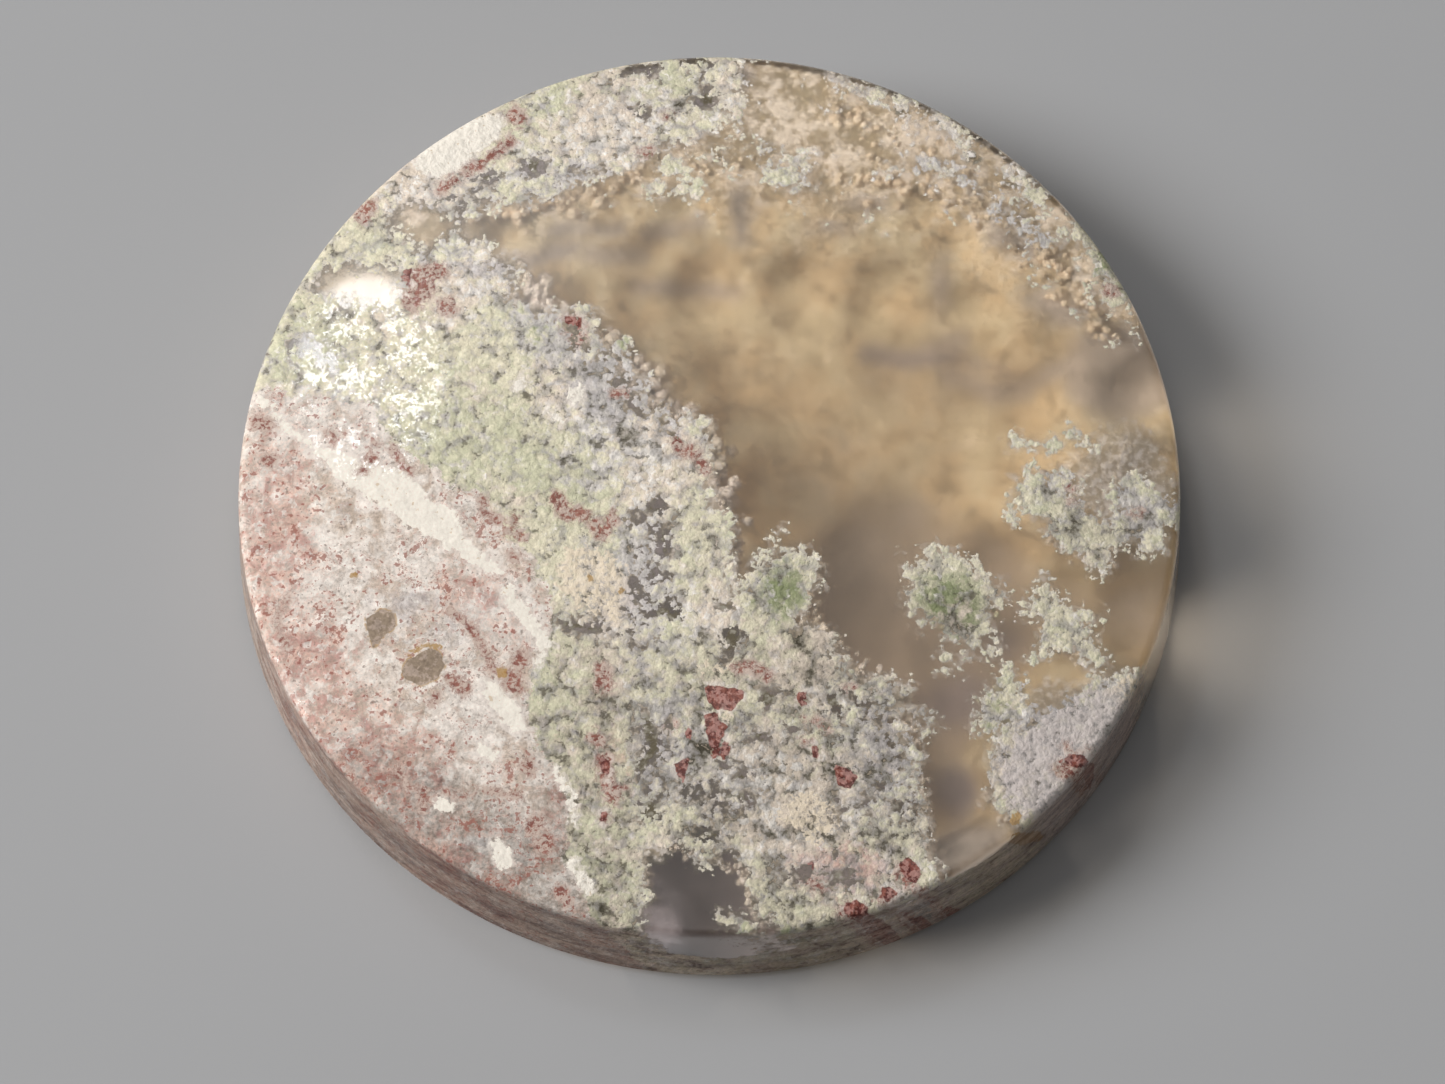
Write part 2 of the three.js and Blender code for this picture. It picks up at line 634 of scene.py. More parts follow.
CREAMS = spots(
    (880, 150, 160, 50, 20), (1040, 740, 50, 40), (770, 800, 50, 60), (280, 430, 30, 30),
    (600, 130, 110, 40, -14), (460, 280, 50, 40), (640, 460, 50, 60), (604, 588, 46, 34, 20),
    (810, 815, 44, 40), (770, 80, 40, 22), (320, 430, 60, 26, 24), (318, 600, 30, 44),
    (700, 620, 30, 30), (880, 880, 60, 24, 10), (440, 160, 70, 40, -36), (500, 620, 40, 30, 40),
    (600, 420, 70, 40, 40),
)
BLUSHES = spots(
    (275, 530, 40, 100), (300, 680, 60, 70, -30), (380, 760, 80, 50, 20), (560, 800, 14, 60),
    (610, 760, 18, 60), (840, 870, 60, 34), (430, 860, 80, 40, 20), (480, 600, 40, 26, 40),
    (1120, 420, 30, 20), (560, 940, 60, 24),
)
LOOSES = spots(
    (600, 380, 80, 50, 40), (640, 590, 40, 90), (560, 270, 60, 30, 20), (690, 760, 60, 60),
    (870, 760, 50, 90, -20), (460, 210, 50, 40), (820, 860, 40, 40), (590, 160, 50, 16, -20),
)
# Where the moss and jasper are painted darker, as shade
DIMS = spots(
    (760, 780, 220, 150, -20), (600, 800, 60, 180), (430, 860, 180, 90, 30),
    (1060, 760, 80, 60, -40), (956, 626, 44, 30), (1070, 530, 40, 20),
)

# Moss just under the polish: a crust along the far rim, its crisp parts, and blurred patches
CRUST = Patch((
    (470, 214), (560, 180), (640, 150), (720, 90), (740, 40), (830, 40), (960, 70), (1150, 240),
    (1170, 330), (1120, 352), (1086, 330), (1060, 300), (1030, 290), (1000, 262), (960, 240),
    (930, 224), (880, 234), (830, 226), (800, 212), (740, 214), (680, 212), (620, 204), (560, 214),
    (500, 232),
))
CRISP = streaks(
    (22, (850, 84), (900, 104), (960, 140), (1010, 178), (1060, 222), (1096, 270), (1118, 310)),
    (16, (660, 170), (720, 150), (790, 172)), (12, (900, 170), (950, 166)),
)
VEILS = (
    *patches(
        (
            (1086, 450), (1100, 430), (1130, 424), (1156, 440), (1170, 470), (1176, 500), (1140, 530),
            (1100, 530), (1080, 500),
        ),
    ),
    *streaks(
        (14, (1040, 700), (1080, 700), (1120, 690)), (12, (1010, 750), (1000, 800)),
        (12, (640, 846), (656, 846)), (10, (700, 480), (724, 560), (728, 600)),
    ),
)

# Where the buried moss turns grey
SMOKES = (
    *streaks(
        (5, (868, 357), (905, 363), (950, 358)), (6, (930, 350), (960, 340)),
        (9, (948, 376), (985, 392), (1020, 388), (1050, 372), (1084, 358)),
        (5, (500, 276), (540, 258), (575, 248)), (5, (590, 254), (640, 256)),
        (4, (560, 232), (620, 228)), (4, (640, 286), (690, 290), (735, 292)),
        (5, (650, 236), (700, 224)), (5, (738, 196), (742, 240)), (8, (1000, 236), (1040, 250)),
    ),
    *spots(
        (940, 284, 6, 16), (860, 206, 14, 5), (832, 228, 14, 5), (1120, 370, 60, 44),
        (1060, 310, 30, 14, 20), (968, 852, 44, 30),
    ),
)

# Where it is painted dark as shade
SHADES = (
    *streaks(
        (5, (866, 352), (900, 360), (950, 358), (1008, 372)), (0, (632, 288), (690, 290), (735, 294)),
        (0, (500, 276), (540, 258), (575, 248)),
    ),
    *spots((960, 700, 44, 22, -10), (1000, 640, 20, 14), (958, 790, 24, 26)),
)


class Layer(Enum):
    """The fields that the stone's surface carries, by the name of each one's attribute."""

    COVER = "cover"
    JASPER = "jasper"
    VEIN = "vein"
    CHALK = "chalk"
    LENS = "lens"
    RED = "red"
    SHARD = "shard"
    OCHRE = "ochre"
    SAGE = "sage"
    GREEN = "green"
    LAVENDER = "lavender"
    CREAM = "cream"
    BLUSH = "blush"
    LOOSE = "loose"
    DIM = "dim"
    VEIL = "veil"
    CLEFT = "cleft"
    WALL = "wall"
    LIT = "lit"
    BURIED = "buried"


class BedLayer(Enum):
    """The fields that the buried moss carries, by the name of each one's attribute."""

    # Painted shade on the bed
    PAINTED_SHADE = "painted_shade"
    SHALLOW = "shallow"
    DEEP = "deep"
    CREST = "crest"


# The marks of each layer that has an edge, and the areas of each layer that fades
EDGED = {
    Layer.JASPER: (JASPER,),
    Layer.VEIN: VEINS,
    Layer.CHALK: CHALKS,
    Layer.LENS: LENSES,
    Layer.RED: REDS,
    Layer.SHARD: SHARDS,
    Layer.OCHRE: OCHRES,
    Layer.VEIL: VEILS,
    Layer.CLEFT: CLEFTS,
}
SOFT = {
    Layer.SAGE: SAGES,
    Layer.GREEN: GREENS,
    Layer.LAVENDER: LAVENDERS,
    Layer.CREAM: CREAMS,
    Layer.BLUSH: BLUSHES,
    Layer.LOOSE: LOOSES,
    Layer.DIM: DIMS,
}

# How deep below the dome the buried moss lies: pixels right, pixels down, millimetres
SOUNDINGS = (
    (425, 222, 0.6), (360, 290, 0.9), (310, 355, 0.7), (480, 222, 0.9), (500, 245, 2.0),
    (540, 216, 0.8), (590, 200, 0.7), (640, 182, 0.45), (660, 170, 0.4), (700, 150, 0.35),
    (760, 130, 0.3), (720, 196, 0.6), (690, 218, 1.4), (780, 175, 0.35), (840, 150, 0.4),
    (900, 135, 0.35), (860, 190, 0.6), (925, 165, 0.4), (960, 195, 0.5), (1000, 226, 0.5),
    (1050, 245, 0.4), (1085, 285, 0.35), (1118, 318, 0.4), (870, 222, 1.1), (770, 222, 1.2),
    (800, 90, 0.5), (1020, 270, 1.0), (1080, 325, 0.9), (930, 218, 1.0), (630, 212, 1.1),
    (950, 255, 1.6), (1040, 290, 1.2), (1100, 345, 1.6), (1130, 400, 2.6), (1160, 470, 2.2),
    (700, 290, 3.4), (660, 262, 2.2), (800, 300, 2.8), (880, 310, 2.9), (640, 300, 2.6),
    (590, 285, 1.9), (560, 262, 1.8), (740, 370, 2.9), (720, 430, 2.8), (800, 400, 3.0),
    (900, 375, 3.3), (960, 385, 3.4), (1020, 400, 3.3), (850, 450, 3.1), (950, 460, 3.1),
    (1010, 470, 2.8), (760, 490, 3.0), (800, 500, 3.3), (1060, 350, 2.6), (970, 320, 2.6),
    (540, 312, 0.8), (610, 330, 1.0), (655, 380, 0.8), (700, 415, 0.9), (722, 480, 0.8),
    (740, 540, 1.8), (735, 600, 1.6), (860, 560, 4.0), (860, 610, 4.3), (870, 660, 4.3),
    (940, 690, 4.3), (960, 730, 4.3), (950, 786, 4.1), (962, 852, 0.9), (990, 862, 1.0),
    (900, 540, 3.8), (1000, 560, 3.9), (1010, 640, 4.2), (1125, 445, 0.6), (1080, 478, 0.4),
    (1150, 500, 0.4), (1100, 530, 0.5), (1040, 500, 0.7), (1130, 610, 3.7), (1170, 600, 3.6),
    (1060, 600, 3.6), (1060, 690, 1.6), (1040, 760, 0.35), (1100, 700, 0.35), (996, 756, 0.7),
    (700, 862, 4.0), (712, 884, 2.9), (738, 892, 3.2), (674, 900, 0.7), (680, 926, 0.7),
    (716, 908, 3.8), (652, 850, 0.9), (800, 740, 1.2), (750, 950, 2.6), (650, 560, 1.1),
    (640, 730, 1.2), (600, 450, 1.0), (740, 640, 3.4), (860, 800, 1.2),
)


@dataclass(frozen=True)
class Pattern:
    """Lays the marks over the whole of the stone.

    Attributes:
        form: The stone.
        view: The photograph's camera.
        lean_mm: How far the pattern moves to the right for each millimetre down.
        solid_mm: How far inside an edge the moss counts as solid.
        softness_px: How far a soft area takes to fade.
        back_skin_mm: How near the back the buried moss shows on it.
        sprinkle_mm: How far outside the moss the crust counts, which lets only some crumbs through.
        thinned_mm: How much thinner loose moss is.
        crisp_mm: How much more of the crust comes through where it is crisp.
        lit_edge_px: How far the window's light takes to fade at its edge.
        shut_mm: How far below the dome the front window starts to close.
        low_px: Below which pixel row the large window closes down the wall.
        low_fade_px: How many rows that takes to come in.
        low_shut_mm: How far below the dome it starts to close there.
        shut_slope: How much narrower a closing window gets for each length down.
        wall_start_mm: How far below the dome the wall's own colours start.
        wall_fade_mm: How far they take to come in.
        buried_start_mm: How far below the dome the buried moss starts to show on the wall.
        back_start_mm: How far below the dome the pattern of the back starts.
        crust_margin_mm: How far inside its outline the crust starts.
        edge_px: How far inside their edges the jasper and the window count in full.
        reach_mm: How far from its edge a mark's distance is still measured.
    """

    form: StoneForm
    view: PhotoView
    lean_mm: float = 0.38
    solid_mm: float = 0.9
    softness_px: float = 44
    back_skin_mm: float = 0.6
    sprinkle_mm: float = -0.36
    thinned_mm: float = 0.5
    crisp_mm: float = 0.22
    lit_edge_px: float = 12
    shut_mm: float = 1.7
    low_px: float = 760
    low_fade_px: float = 40
    low_shut_mm: float = 0.2
    shut_slope: float = 5
    wall_start_mm: float = 0.15
    wall_fade_mm: float = 0.25
    buried_start_mm: float = 3.5
    back_start_mm: float = 4
    crust_margin_mm: float = 0.3
    edge_px: float = 20
    reach_mm: float = 1.5

    def pixels(self, places: np.ndarray) -> tuple[np.ndarray, np.ndarray, np.ndarray]:
        """Finds which pixel's pattern each point of the outside shows.

        Args:
            places: Points on or in the stone, one a row.

        Returns:
            Pixels to the right, pixels down, and depth below the dome in millimetres.
        """
        reach = np.hypot(places[:, 0], places[:, 1])
        top = self.form.dome_height(reach)
        depth_mm = np.maximum(top - places[:, 2], 0) / MM
        lifted = np.column_stack((places[:, :2], top))
        u, v = self.view.project(lifted)
        return u - depth_mm * self.lean_mm * self.view.px_per_mm, v, depth_mm

    def cover(self, u: np.ndarray, v: np.ndarray, depth_mm: np.ndarray) -> np.ndarray:
        """Measures how far points are inside the moss and jasper that reach the outside.

        Args:
            u: Pixels to the right.
            v: Pixels down.
            depth_mm: Depth below the dome.

        Returns:
            Millimetres inside, below 0 in clear chalcedony.
        """
        scale = self.view.px_per_mm
        closing = scale * self.shut_slope
        front_px = FRONT_WINDOW.depth_in(u, v) - np.maximum(depth_mm - self.shut_mm, 0) * closing
        low = np.clip((v - self.low_px) / self.low_fade_px, 0, 1)
        window_px = WINDOW.depth_in(u, v) - low * np.maximum(depth_mm - self.low_shut_mm, 0) * closing
        open_px = np.maximum.reduce((window_px, front_px, deepest(SIDE_WINDOWS + CLEFTS, u, v)))
        most = self.sprinkle_mm + self.soft(CRISP, u, v) * self.crisp_mm
        sprinkled = np.minimum(CRUST.depth_in(u, v) / scale - self.crust_margin_mm, most)
        top = np.maximum(np.maximum(-open_px, deepest(ISLANDS, u, v)) / scale, sprinkled)
        buried_mm = self.form.thickness / MM - sounding(u, v)
        at_back = np.clip((depth_mm - self.back_start_mm) / self.back_skin_mm, 0, 1)
        reaches_back = np.clip((buried_mm - self.back_skin_mm) * 0.5, -0.6, 0.6)
        solid = np.maximum(top, at_back * 2 - 2 + reaches_back)
        solid = np.clip(solid, -self.reach_mm, self.solid_mm)
        in_jasper = np.clip(JASPER.depth_in(u, v) / self.edge_px, 0, 1)
        open_share = self.soft(LOOSES, u, v) * (1 - in_jasper) * (1 - at_back)
        return solid - open_share * self.thinned_mm * np.clip(solid * 2, 0, 1)

    def soft(self, marks: Sequence[Mark], u: np.ndarray, v: np.ndarray) -> np.ndarray:
        """Measures how much of a soft area's tone points get.

        Args:
            marks: The areas.
            u: Pixels to the right.
            v: Pixels down.

        Returns:
            Shares from 0 to 1.
        """
        return np.clip(0.5 + deepest(marks, u, v) / self.softness_px, 0, 1)

    def layers(self, places: np.ndarray) -> dict[Layer, np.ndarray]:
        """Works out every field at some points of the outside.

        Args:
            places: Points, one a row.

        Returns:
            Each layer's values: millimetres inside for marks, and 0 to 1 for soft areas.
        """
        u, v, depth_mm = self.pixels(places)
        scale = self.view.px_per_mm
        fields = {Layer.COVER: self.cover(u, v, depth_mm)}
        for layer, marks in EDGED.items():
            fields[layer] = np.clip(deepest(marks, u, v) / scale, -self.reach_mm, self.reach_mm)
        for layer, marks in SOFT.items():
            fields[layer] = self.soft(marks, u, v)
        fields[Layer.WALL] = np.clip((depth_mm - self.wall_start_mm) / self.wall_fade_mm, 0, 1)
        window_px = WINDOW.depth_in(u, v)
        fields[Layer.LIT] = np.clip(0.5 + window_px / self.lit_edge_px, 0, 1)
        in_window = np.clip(window_px / self.edge_px, 0, 1)
        fields[Layer.BURIED] = in_window * np.clip(depth_mm - self.buried_start_mm, 0, 1)
        return fields


def sounding(u: np.ndarray, v: np.ndarray) -> np.ndarray:
    """Works out how deep the buried moss lies.

    Args:
        u: Pixels to the right.
        v: Pixels down.

    Returns:
        Millimetres below the dome.
    """
    total = np.zeros(u.shape)
    weights = np.zeros(u.shape)
    spread_px, falloff = 26, -1.9
    for x, y, depth_mm in SOUNDINGS:
        weight = ((u - x) ** 2 + (v - y) ** 2 + spread_px**2) ** falloff
        total += weight * depth_mm
        weights += weight
    return total / weights


# Shader maths


class Value:
    """A number that changes over a surface, used in sums like any other number."""

    def __init__(self, tree: "ShaderTree", socket: bpy.types.NodeSocket) -> None:
        """Wraps a socket.

        Args:
            tree: The tree that the socket is in.
            socket: The output that gives the number.
        """
        self.tree = tree
        self.socket = socket

    def __add__(self, other: "Value | float") -> "Value":
        """Adds."""
        return self.tree.sum("ADD", self, other)

    def __radd__(self, other: float) -> "Value":
        """Adds to a plain number."""
        return self.tree.sum("ADD", other, self)

    def __sub__(self, other: "Value | float") -> "Value":
        """Subtracts."""
        return self.tree.sum("SUBTRACT", self, other)

    def __rsub__(self, other: float) -> "Value":
        """Subtracts from a plain number."""
        return self.tree.sum("SUBTRACT", other, self)

    def __mul__(self, other: "Value | float") -> "Value":
        """Multiplies."""
        return self.tree.sum("MULTIPLY", self, other)

    def __rmul__(self, other: float) -> "Value":
        """Multiplies a plain number."""
        return self.tree.sum("MULTIPLY", other, self)

    def above(self, low: float, high: float) -> "Value":
        """Rises smoothly from 0 at low to 1 at high, or falls where high is the lower.

        Args:
            low: Where the result is 0.
            high: Where the result is 1.

        Returns:
            The result.
        """
        settings = {"interpolation_type": "SMOOTHSTEP", "clamp": True}
        inputs = {"Value": self, "From Min": low, "From Max": high}
        if low > high:
            inputs = {"Value": self, "From Min": high, "From Max": low, "To Min": 1.0, "To Max": 0.0}
        return Value(self.tree, self.tree.node("ShaderNodeMapRange", settings, inputs).outputs[0])

    def size(self) -> "Value":
        """Drops the sign."""
        return self.tree.sum("ABSOLUTE", self, 0.0)

    def larger(self, other: "Value | float") -> "Value":
        """Takes the larger of two numbers."""
        return self.tree.sum("MAXIMUM", self, other)


@dataclass(frozen=True)
class Cells:
    """A pattern of irregular cells, with distances counted in cells.

    Attributes:
        middle: The distance from each cell's middle.
        tone: A number from 0 to 1 of its own.
        other: A second number of its own.
    """

    middle: Value
    tone: Value
    other: Value

    @property
    def bulge(self) -> Value:
        """How far each cell stands out as a rounded lump, about 0."""
        return 0.55 - self.middle


Paint = bpy.types.NodeSocket | Colour


class ShaderTree:
    """A material and the nodes in it.

    Attributes:
        material: The material.
        output: Its output node.
        position: The place on the piece.
        warped: That place, bent in broad waves and in fine ones.
    """

    def __init__(self, name: str) -> None:
        """Makes an empty material.

        Args:
            name: The material's name.
        """
        self.material = bpy.data.materials.new(name)
        self.material.use_nodes = True
        self.material.node_tree.nodes.clear()
        self.output = self.node("ShaderNodeOutputMaterial")
        self.position = self.node("ShaderNodeTexCoord").outputs["Object"]
        self.warped = self.position
        bends = ((2.4, 0.4), (7.5, 0.16))
        for per_mm, reach_mm in bends:
            inputs = {"Vector": self.place(per_mm, (1, 1, 1), 0), "Scale": 1.0}
            wobble = self.node("ShaderNodeTexNoise", None, inputs).outputs["Color"]
            self.warped = self.scaled(wobble, (reach_mm * MM,) * 3, self.warped)

    def node(self, kind: str, settings: dict | None = None, inputs: dict | None = None) -> bpy.types.Node:
        """Adds a node.

        Args:
            kind: The node's type.
            settings: Its own settings, which are set first.
            inputs: What each input gets, by name or place: a value or a link.

        Returns:
            The node.
        """
        made = self.material.node_tree.nodes.new(kind)
        for name, value in (settings or {}).items():
            setattr(made, name, value)
        for name, value in (inputs or {}).items():
            self.feed(made.inputs[name], value)
        return made

    def feed(self, socket: bpy.types.NodeSocket, value: object) -> None:
        """Links or sets an input.

        Args:
            socket: The input.
            value: A Value, an output, a number, or a colour or vector.
        """
        if isinstance(value, Value):
            value = value.socket
        if isinstance(value, bpy.types.NodeSocket):
            self.material.node_tree.links.new(value, socket)
        elif socket.type == "RGBA":
            socket.default_value = (*value, 1)
        else:
            socket.default_value = value

    def sum(self, operation: str, first: Value | float, second: Value | float) -> Value:
        """Adds a Math node.

        Args:
            operation: What it does.
            first: Its first number.
            second: Its second number.

        Returns:
            Its result.
        """
        made = self.node("ShaderNodeMath", {"operation": operation}, {0: first, 1: second})
        return Value(self, made.outputs[0])

    def place(
        self, per_mm: float, stretch: Sequence[float], shift: float, bent: bool = False
    ) -> bpy.types.NodeSocket:
        """Scales the place on the stone for a texture.

        Args:
            per_mm: How often the texture repeats in a millimetre.
            stretch: What each direction is multiplied by as well.
            shift: How far the texture is moved, so that no two are alike.
            bent: True to bend it a little, so that straight edges become irregular.

        Returns:
            The scaled place.
        """
        start = self.warped if bent else self.position
        scale = tuple(per_mm / MM * s for s in stretch)
        return self.scaled(start, scale, (shift, shift * 0.7, shift * 0.3))

    def scaled(
        self, vector: bpy.types.NodeSocket, scale: Sequence[float], moved: Sequence[float]
    ) -> bpy.types.NodeSocket:
        """Multiplies a vector and adds another one to it.

        Args:
            vector: The vector.
            scale: What each part of it is multiplied by.
            moved: What is added.

        Returns:
            The result.
        """
        inputs = {0: vector, 1: scale, 2: moved}
        return self.node("ShaderNodeVectorMath", {"operation": "MULTIPLY_ADD"}, inputs).outputs[0]

    def cloud(
        self,
        per_mm: float,
        detail: float = 2,
        roughness: float = 0.5,
        stretch: Sequence[float] = (1, 1, 1),
        shift: float = 0,
        twist: float = 0,
    ) -> Value:
        """Adds a noise.

        Args:
            per_mm: How many of its largest spots fit in a millimetre.
            detail: How many finer levels it has.
            roughness: How strong the finer levels are.
            stretch: What each direction is multiplied by.
            shift: How far it is moved.
            twist: How much it is distorted.

        Returns:
            The noise, from -0.5 to 0.5.
        """
        inputs = {
            "Vector": self.place(per_mm, stretch, shift),
            "Scale": 1.0,
            "Detail": detail,
            "Roughness": roughness,
            "Distortion": twist,
        }
        return Value(self, self.node("ShaderNodeTexNoise", None, inputs).outputs[0]) - 0.5

    def cells(self, per_mm: float, shift: float) -> "Cells":
        """Adds a pattern of irregular cells.

        Args:
            per_mm: How many cells fit in a millimetre.
            shift: How far it is moved.

        Returns:
            The cells.
        """
        inputs = {"Vector": self.place(per_mm, (1, 1, 1), shift, True), "Scale": 1.0}
        made = self.node("ShaderNodeTexVoronoi", None, inputs)
        own = self.node("ShaderNodeSeparateColor", None, {0: made.outputs["Color"]})
        outputs = (made.outputs["Distance"], own.outputs[0], own.outputs[1])
        return Cells(*(Value(self, output) for output in outputs))

    def layer(self, layer: Layer | BedLayer) -> Value:
        """Reads one of a piece's fields."""
        return Value(self, self.node("ShaderNodeAttribute", {"attribute_name": layer.value}).outputs["Fac"])

    def blend(self, share: Value | float, first: Paint, second: Paint) -> bpy.types.NodeSocket:
        """Mixes two colours.

        Args:
            share: How much of the second shows.
            first: The colour below.
            second: The colour above.

        Returns:
            The mixed colour.
        """
        made = self.node("ShaderNodeMix", {"data_type": "RGBA"}, {0: share, 6: first, 7: second})
        return made.outputs[2]

    def mix_shaders(
        self, share: Value | bpy.types.NodeSocket, first: bpy.types.Node, second: bpy.types.Node
    ) -> bpy.types.Node:
        """Mixes two shaders.

        Args:
            share: How much of the second shows.
            first: The one shader.
            second: The other shader.

        Returns:
            The mixed shader.
        """
        inputs = {0: share, 1: first.outputs[0], 2: second.outputs[0]}
        return self.node("ShaderNodeMixShader", None, inputs)

    def lighten(self, paint: Paint, factor: Value) -> bpy.types.NodeSocket:
        """Multiplies a colour.

        Args:
            paint: The colour.
            factor: What it is multiplied by.

        Returns:
            The result.
        """
        inputs = {0: paint, "Scale": factor}
        return self.node("ShaderNodeVectorMath", {"operation": "SCALE"}, inputs).outputs[0]


# Finishes


class MossTree(ShaderTree):
    """A material whose colours share the moss's noises and cells.

    Attributes:
        drift: Spots about 2 mm wide.
        clump: Spots about 0.8 mm wide.
        knot: Spots about 0.3 mm wide.
        grain: Spots about 0.1 mm wide.
        speck: Smooth spots about 0.15 mm wide.
        lump: Lumps about 0.4 mm wide.
        crumb: Crumbs about 0.25 mm wide.
    """

    def __init__(self, name: str) -> None:
        """Makes a material with the noises and cells in it.

        Args:
            name: The material's name.
        """
        super().__init__(name)
        self.drift = self.cloud(0.45, 2, 0.5, shift=7)
        self.clump = self.cloud(1.3, 4, 0.6)
        self.knot = self.cloud(3.4, 3, 0.6, shift=61, twist=0.3)
        self.grain = self.cloud(9, 3, 0.7, shift=31)
        self.speck = self.cloud(5.2, 2, 0.5, shift=83)
        self.lump = self.cells(2.3, shift=3)
        self.crumb = self.cells(4.2, shift=23)

    def rise(self) -> Value:
        """Works out how far crumbs stand out of the hollows between them, about 0."""
        rounded = self.lump.bulge * 0.6 + self.crumb.bulge * 0.45
        return rounded + self.clump * 1.05 + self.grain * 0.3

    def pits(self, rise: Value) -> Value:
        """Finds the small pits between crumbs, with more of them in hollows; they are painted dark as
        shade.

        Args:
            rise: How far the crumbs stand out.

        Returns:
            1 in the pits and 0 elsewhere.
        """
        torn = self.grain * 0.9 + self.speck * 1.3 + self.knot * 0.5
        clustered = (torn + rise * 0.9 + self.crumb.bulge * 0.5).above(-0.28, -0.38)
        specks = self.grain * 1.6 + self.speck * 0.9 + rise * 0.25
        return clustered.larger(specks.above(-0.3, -0.4))


@dataclass(frozen=True)
class AgateFinish:
    """The polished outside: opaque moss and jasper, and clear chalcedony between them.

    Attributes:
        recess_shade: Painted shade in the moss's hollows.
        pit_shade: Painted shade in the small pits in it.
        gap_shade: Painted shade in the deepest gaps in it.
        veil_cleft_shade: Painted shade, the darkest of the blurred moss in the clefts.
        veil_grey: The palest of it there.
        veil_sinking_shade: Painted shade, the darkest of it elsewhere, where it sinks away.
        veil_tan: Its middle tone.
        veil_pale: The palest of it.
        crumb_height: How high the moss's crumbs look.
        crumb_strength: How much of that height shows.
        matt: How rough the moss is where it isn't polished.
        shine: How strongly it reflects there.
        polish: How rough the polish is.
        smoke: The chalcedony's own tint where it is clear.
        lamp_tint: How much of a lamp's light the stone lets through.
        absorbed: The tint that the clear chalcedony gives to light on a long way.
        density: How strongly it takes light up.
        ior: How strongly it bends light.
        haze: How much it blurs what lies below.
        milk: How much of the light it doesn't let through.
    """

    # The moss
    straw: Colour = shade(235, 225, 198)
    sage: Colour = shade(208, 205, 175)
    green: Colour = shade(144, 150, 112)
    beige: Colour = shade(232, 215, 198)
    lavender: Colour = shade(205, 198, 197)
    # Ash grey: the colour of specks on chalk, and painted shade on the lumps' sides
    ash_and_side_shade: Colour = shade(172, 166, 164)
    cream: Colour = shade(244, 236, 226)
    # Painted shade for the hollows, pits and deepest gaps between crumbs
    recess_shade: Colour = shade(138, 131, 114)
    pit_shade: Colour = shade(88, 81, 66)
    gap_shade: Colour = shade(76, 71, 58)
    # The jasper and the marks
    salmon: Colour = shade(230, 195, 178)
    rose: Colour = shade(204, 155, 146)
    fawn: Colour = shade(226, 205, 186)
    linen: Colour = shade(245, 233, 222)
    bone: Colour = shade(255, 246, 232)
    slate: Colour = shade(150, 132, 122)
    rust: Colour = shade(160, 98, 84)
    maroon: Colour = shade(138, 78, 68)
    blood: Colour = shade(108, 60, 56)
    mauve: Colour = shade(214, 192, 178)
    brown: Colour = shade(172, 152, 132)
    ochre: Colour = shade(186, 146, 84)
    tan: Colour = shade(200, 164, 116)
    chalk: Colour = shade(252, 234, 208)
    mauve_white: Colour = shade(228, 216, 210)
    # What lies just under the polish, and the wall
    # Painted shade: the darkest blurred moss, in the clefts and where it sinks away
    veil_cleft_shade: Colour = shade(112, 102, 80)
    veil_grey: Colour = shade(170, 163, 148)
    veil_sinking_shade: Colour = shade(122, 114, 100)
    veil_tan: Colour = shade(178, 162, 140)
    veil_pale: Colour = shade(212, 200, 188)
    wall_brown: Colour = shade(112, 84, 78)
    wall_pale: Colour = shade(190, 164, 148)
    # The moss's surface, and the polish
    crumb_height: float = 0.16 * MM
    crumb_strength: float = 0.4
    matt: float = 0.6
    shine: float = 0.1
    polish: float = 0.06
    # The clear chalcedony
    smoke: Colour = (0.90, 0.83, 0.74)
    lamp_tint: Colour = (0.74, 0.71, 0.67)
    absorbed: Colour = (0.80, 0.62, 0.34)
    density: float = 78
    ior: float = 1.54
    haze: float = 0.32
    milk: float = 0.04

    def make(self) -> bpy.types.Material:
        """Makes the material.

        Returns:
            The material.
        """
        tree = MossTree("moss agate")
        rise = tree.rise()
        lace = rise * 0.5 + tree.crumb.bulge * 0.45 + tree.knot * 0.5
        lace = lace + tree.clump * 0.9 + tree.grain * 0.5 + tree.speck * 0.3
        cover = tree.layer(Layer.COVER) + lace
        covered = cover.above(-0.015, 0.015)
        jasper = tree.layer(Layer.JASPER) + tree.clump * 1.1 + tree.grain * 0.5
        jasper = jasper.above(-0.05, 0.05)
        paint = self._moss(tree, cover, rise)
        paint = tree.blend(jasper, paint, self._jasper(tree))
        paint = self._reds(tree, self._veins(tree, paint))
        blurred = tree.layer(Layer.VEIL).larger(tree.layer(Layer.COVER) + 0.02)
        lit = tree.layer(Layer.LIT)
        near = blurred + tree.speck * 0.4 + tree.knot * 0.9 + tree.clump * 1.2
        # The clefts are drawn opaque, with painted shade in them
        cleft = tree.layer(Layer.CLEFT) + tree.speck * 0.4 + tree.knot * 0.4
        cleft = cleft.above(-0.06, 0.14)
        veil = (near.above(-0.34, 0.16) * (0.92 - lit * 0.3)).larger(cleft)
        paint = tree.blend(covered, self._veil(tree, near + lit * 0.3, cleft), paint)
        paint = self._wall(tree, paint)
        bump = tree.node("ShaderNodeBump", None, {
            "Strength": self.crumb_strength,
            "Distance": self.crumb_height,
            "Height": (rise + tree.knot * 0.8 + tree.speck * 0.3) * (covered - jasper * 0.6),
        })
        fleck = tree.cloud(3.6, 6, 0.8, shift=97, twist=1.2) + tree.clump * 0.5 - jasper * 0.05
        polished = (fleck.above(0.045, 0.06) * covered).larger(1 - covered)
        opaque = tree.node("ShaderNodeBsdfPrincipled", None, {
            "Base Color": paint,
            "Roughness": self.matt,
            "Coat Weight": polished * 0.98 + 0.02,
            "Coat Roughness": self.polish,
            "Specular IOR Level": self.shine,
            "Normal": bump.outputs[0],
        })
        self._let_light_in(tree, tree.mix_shaders(covered.larger(veil), self._chalcedony(tree), opaque))
        return tree.material

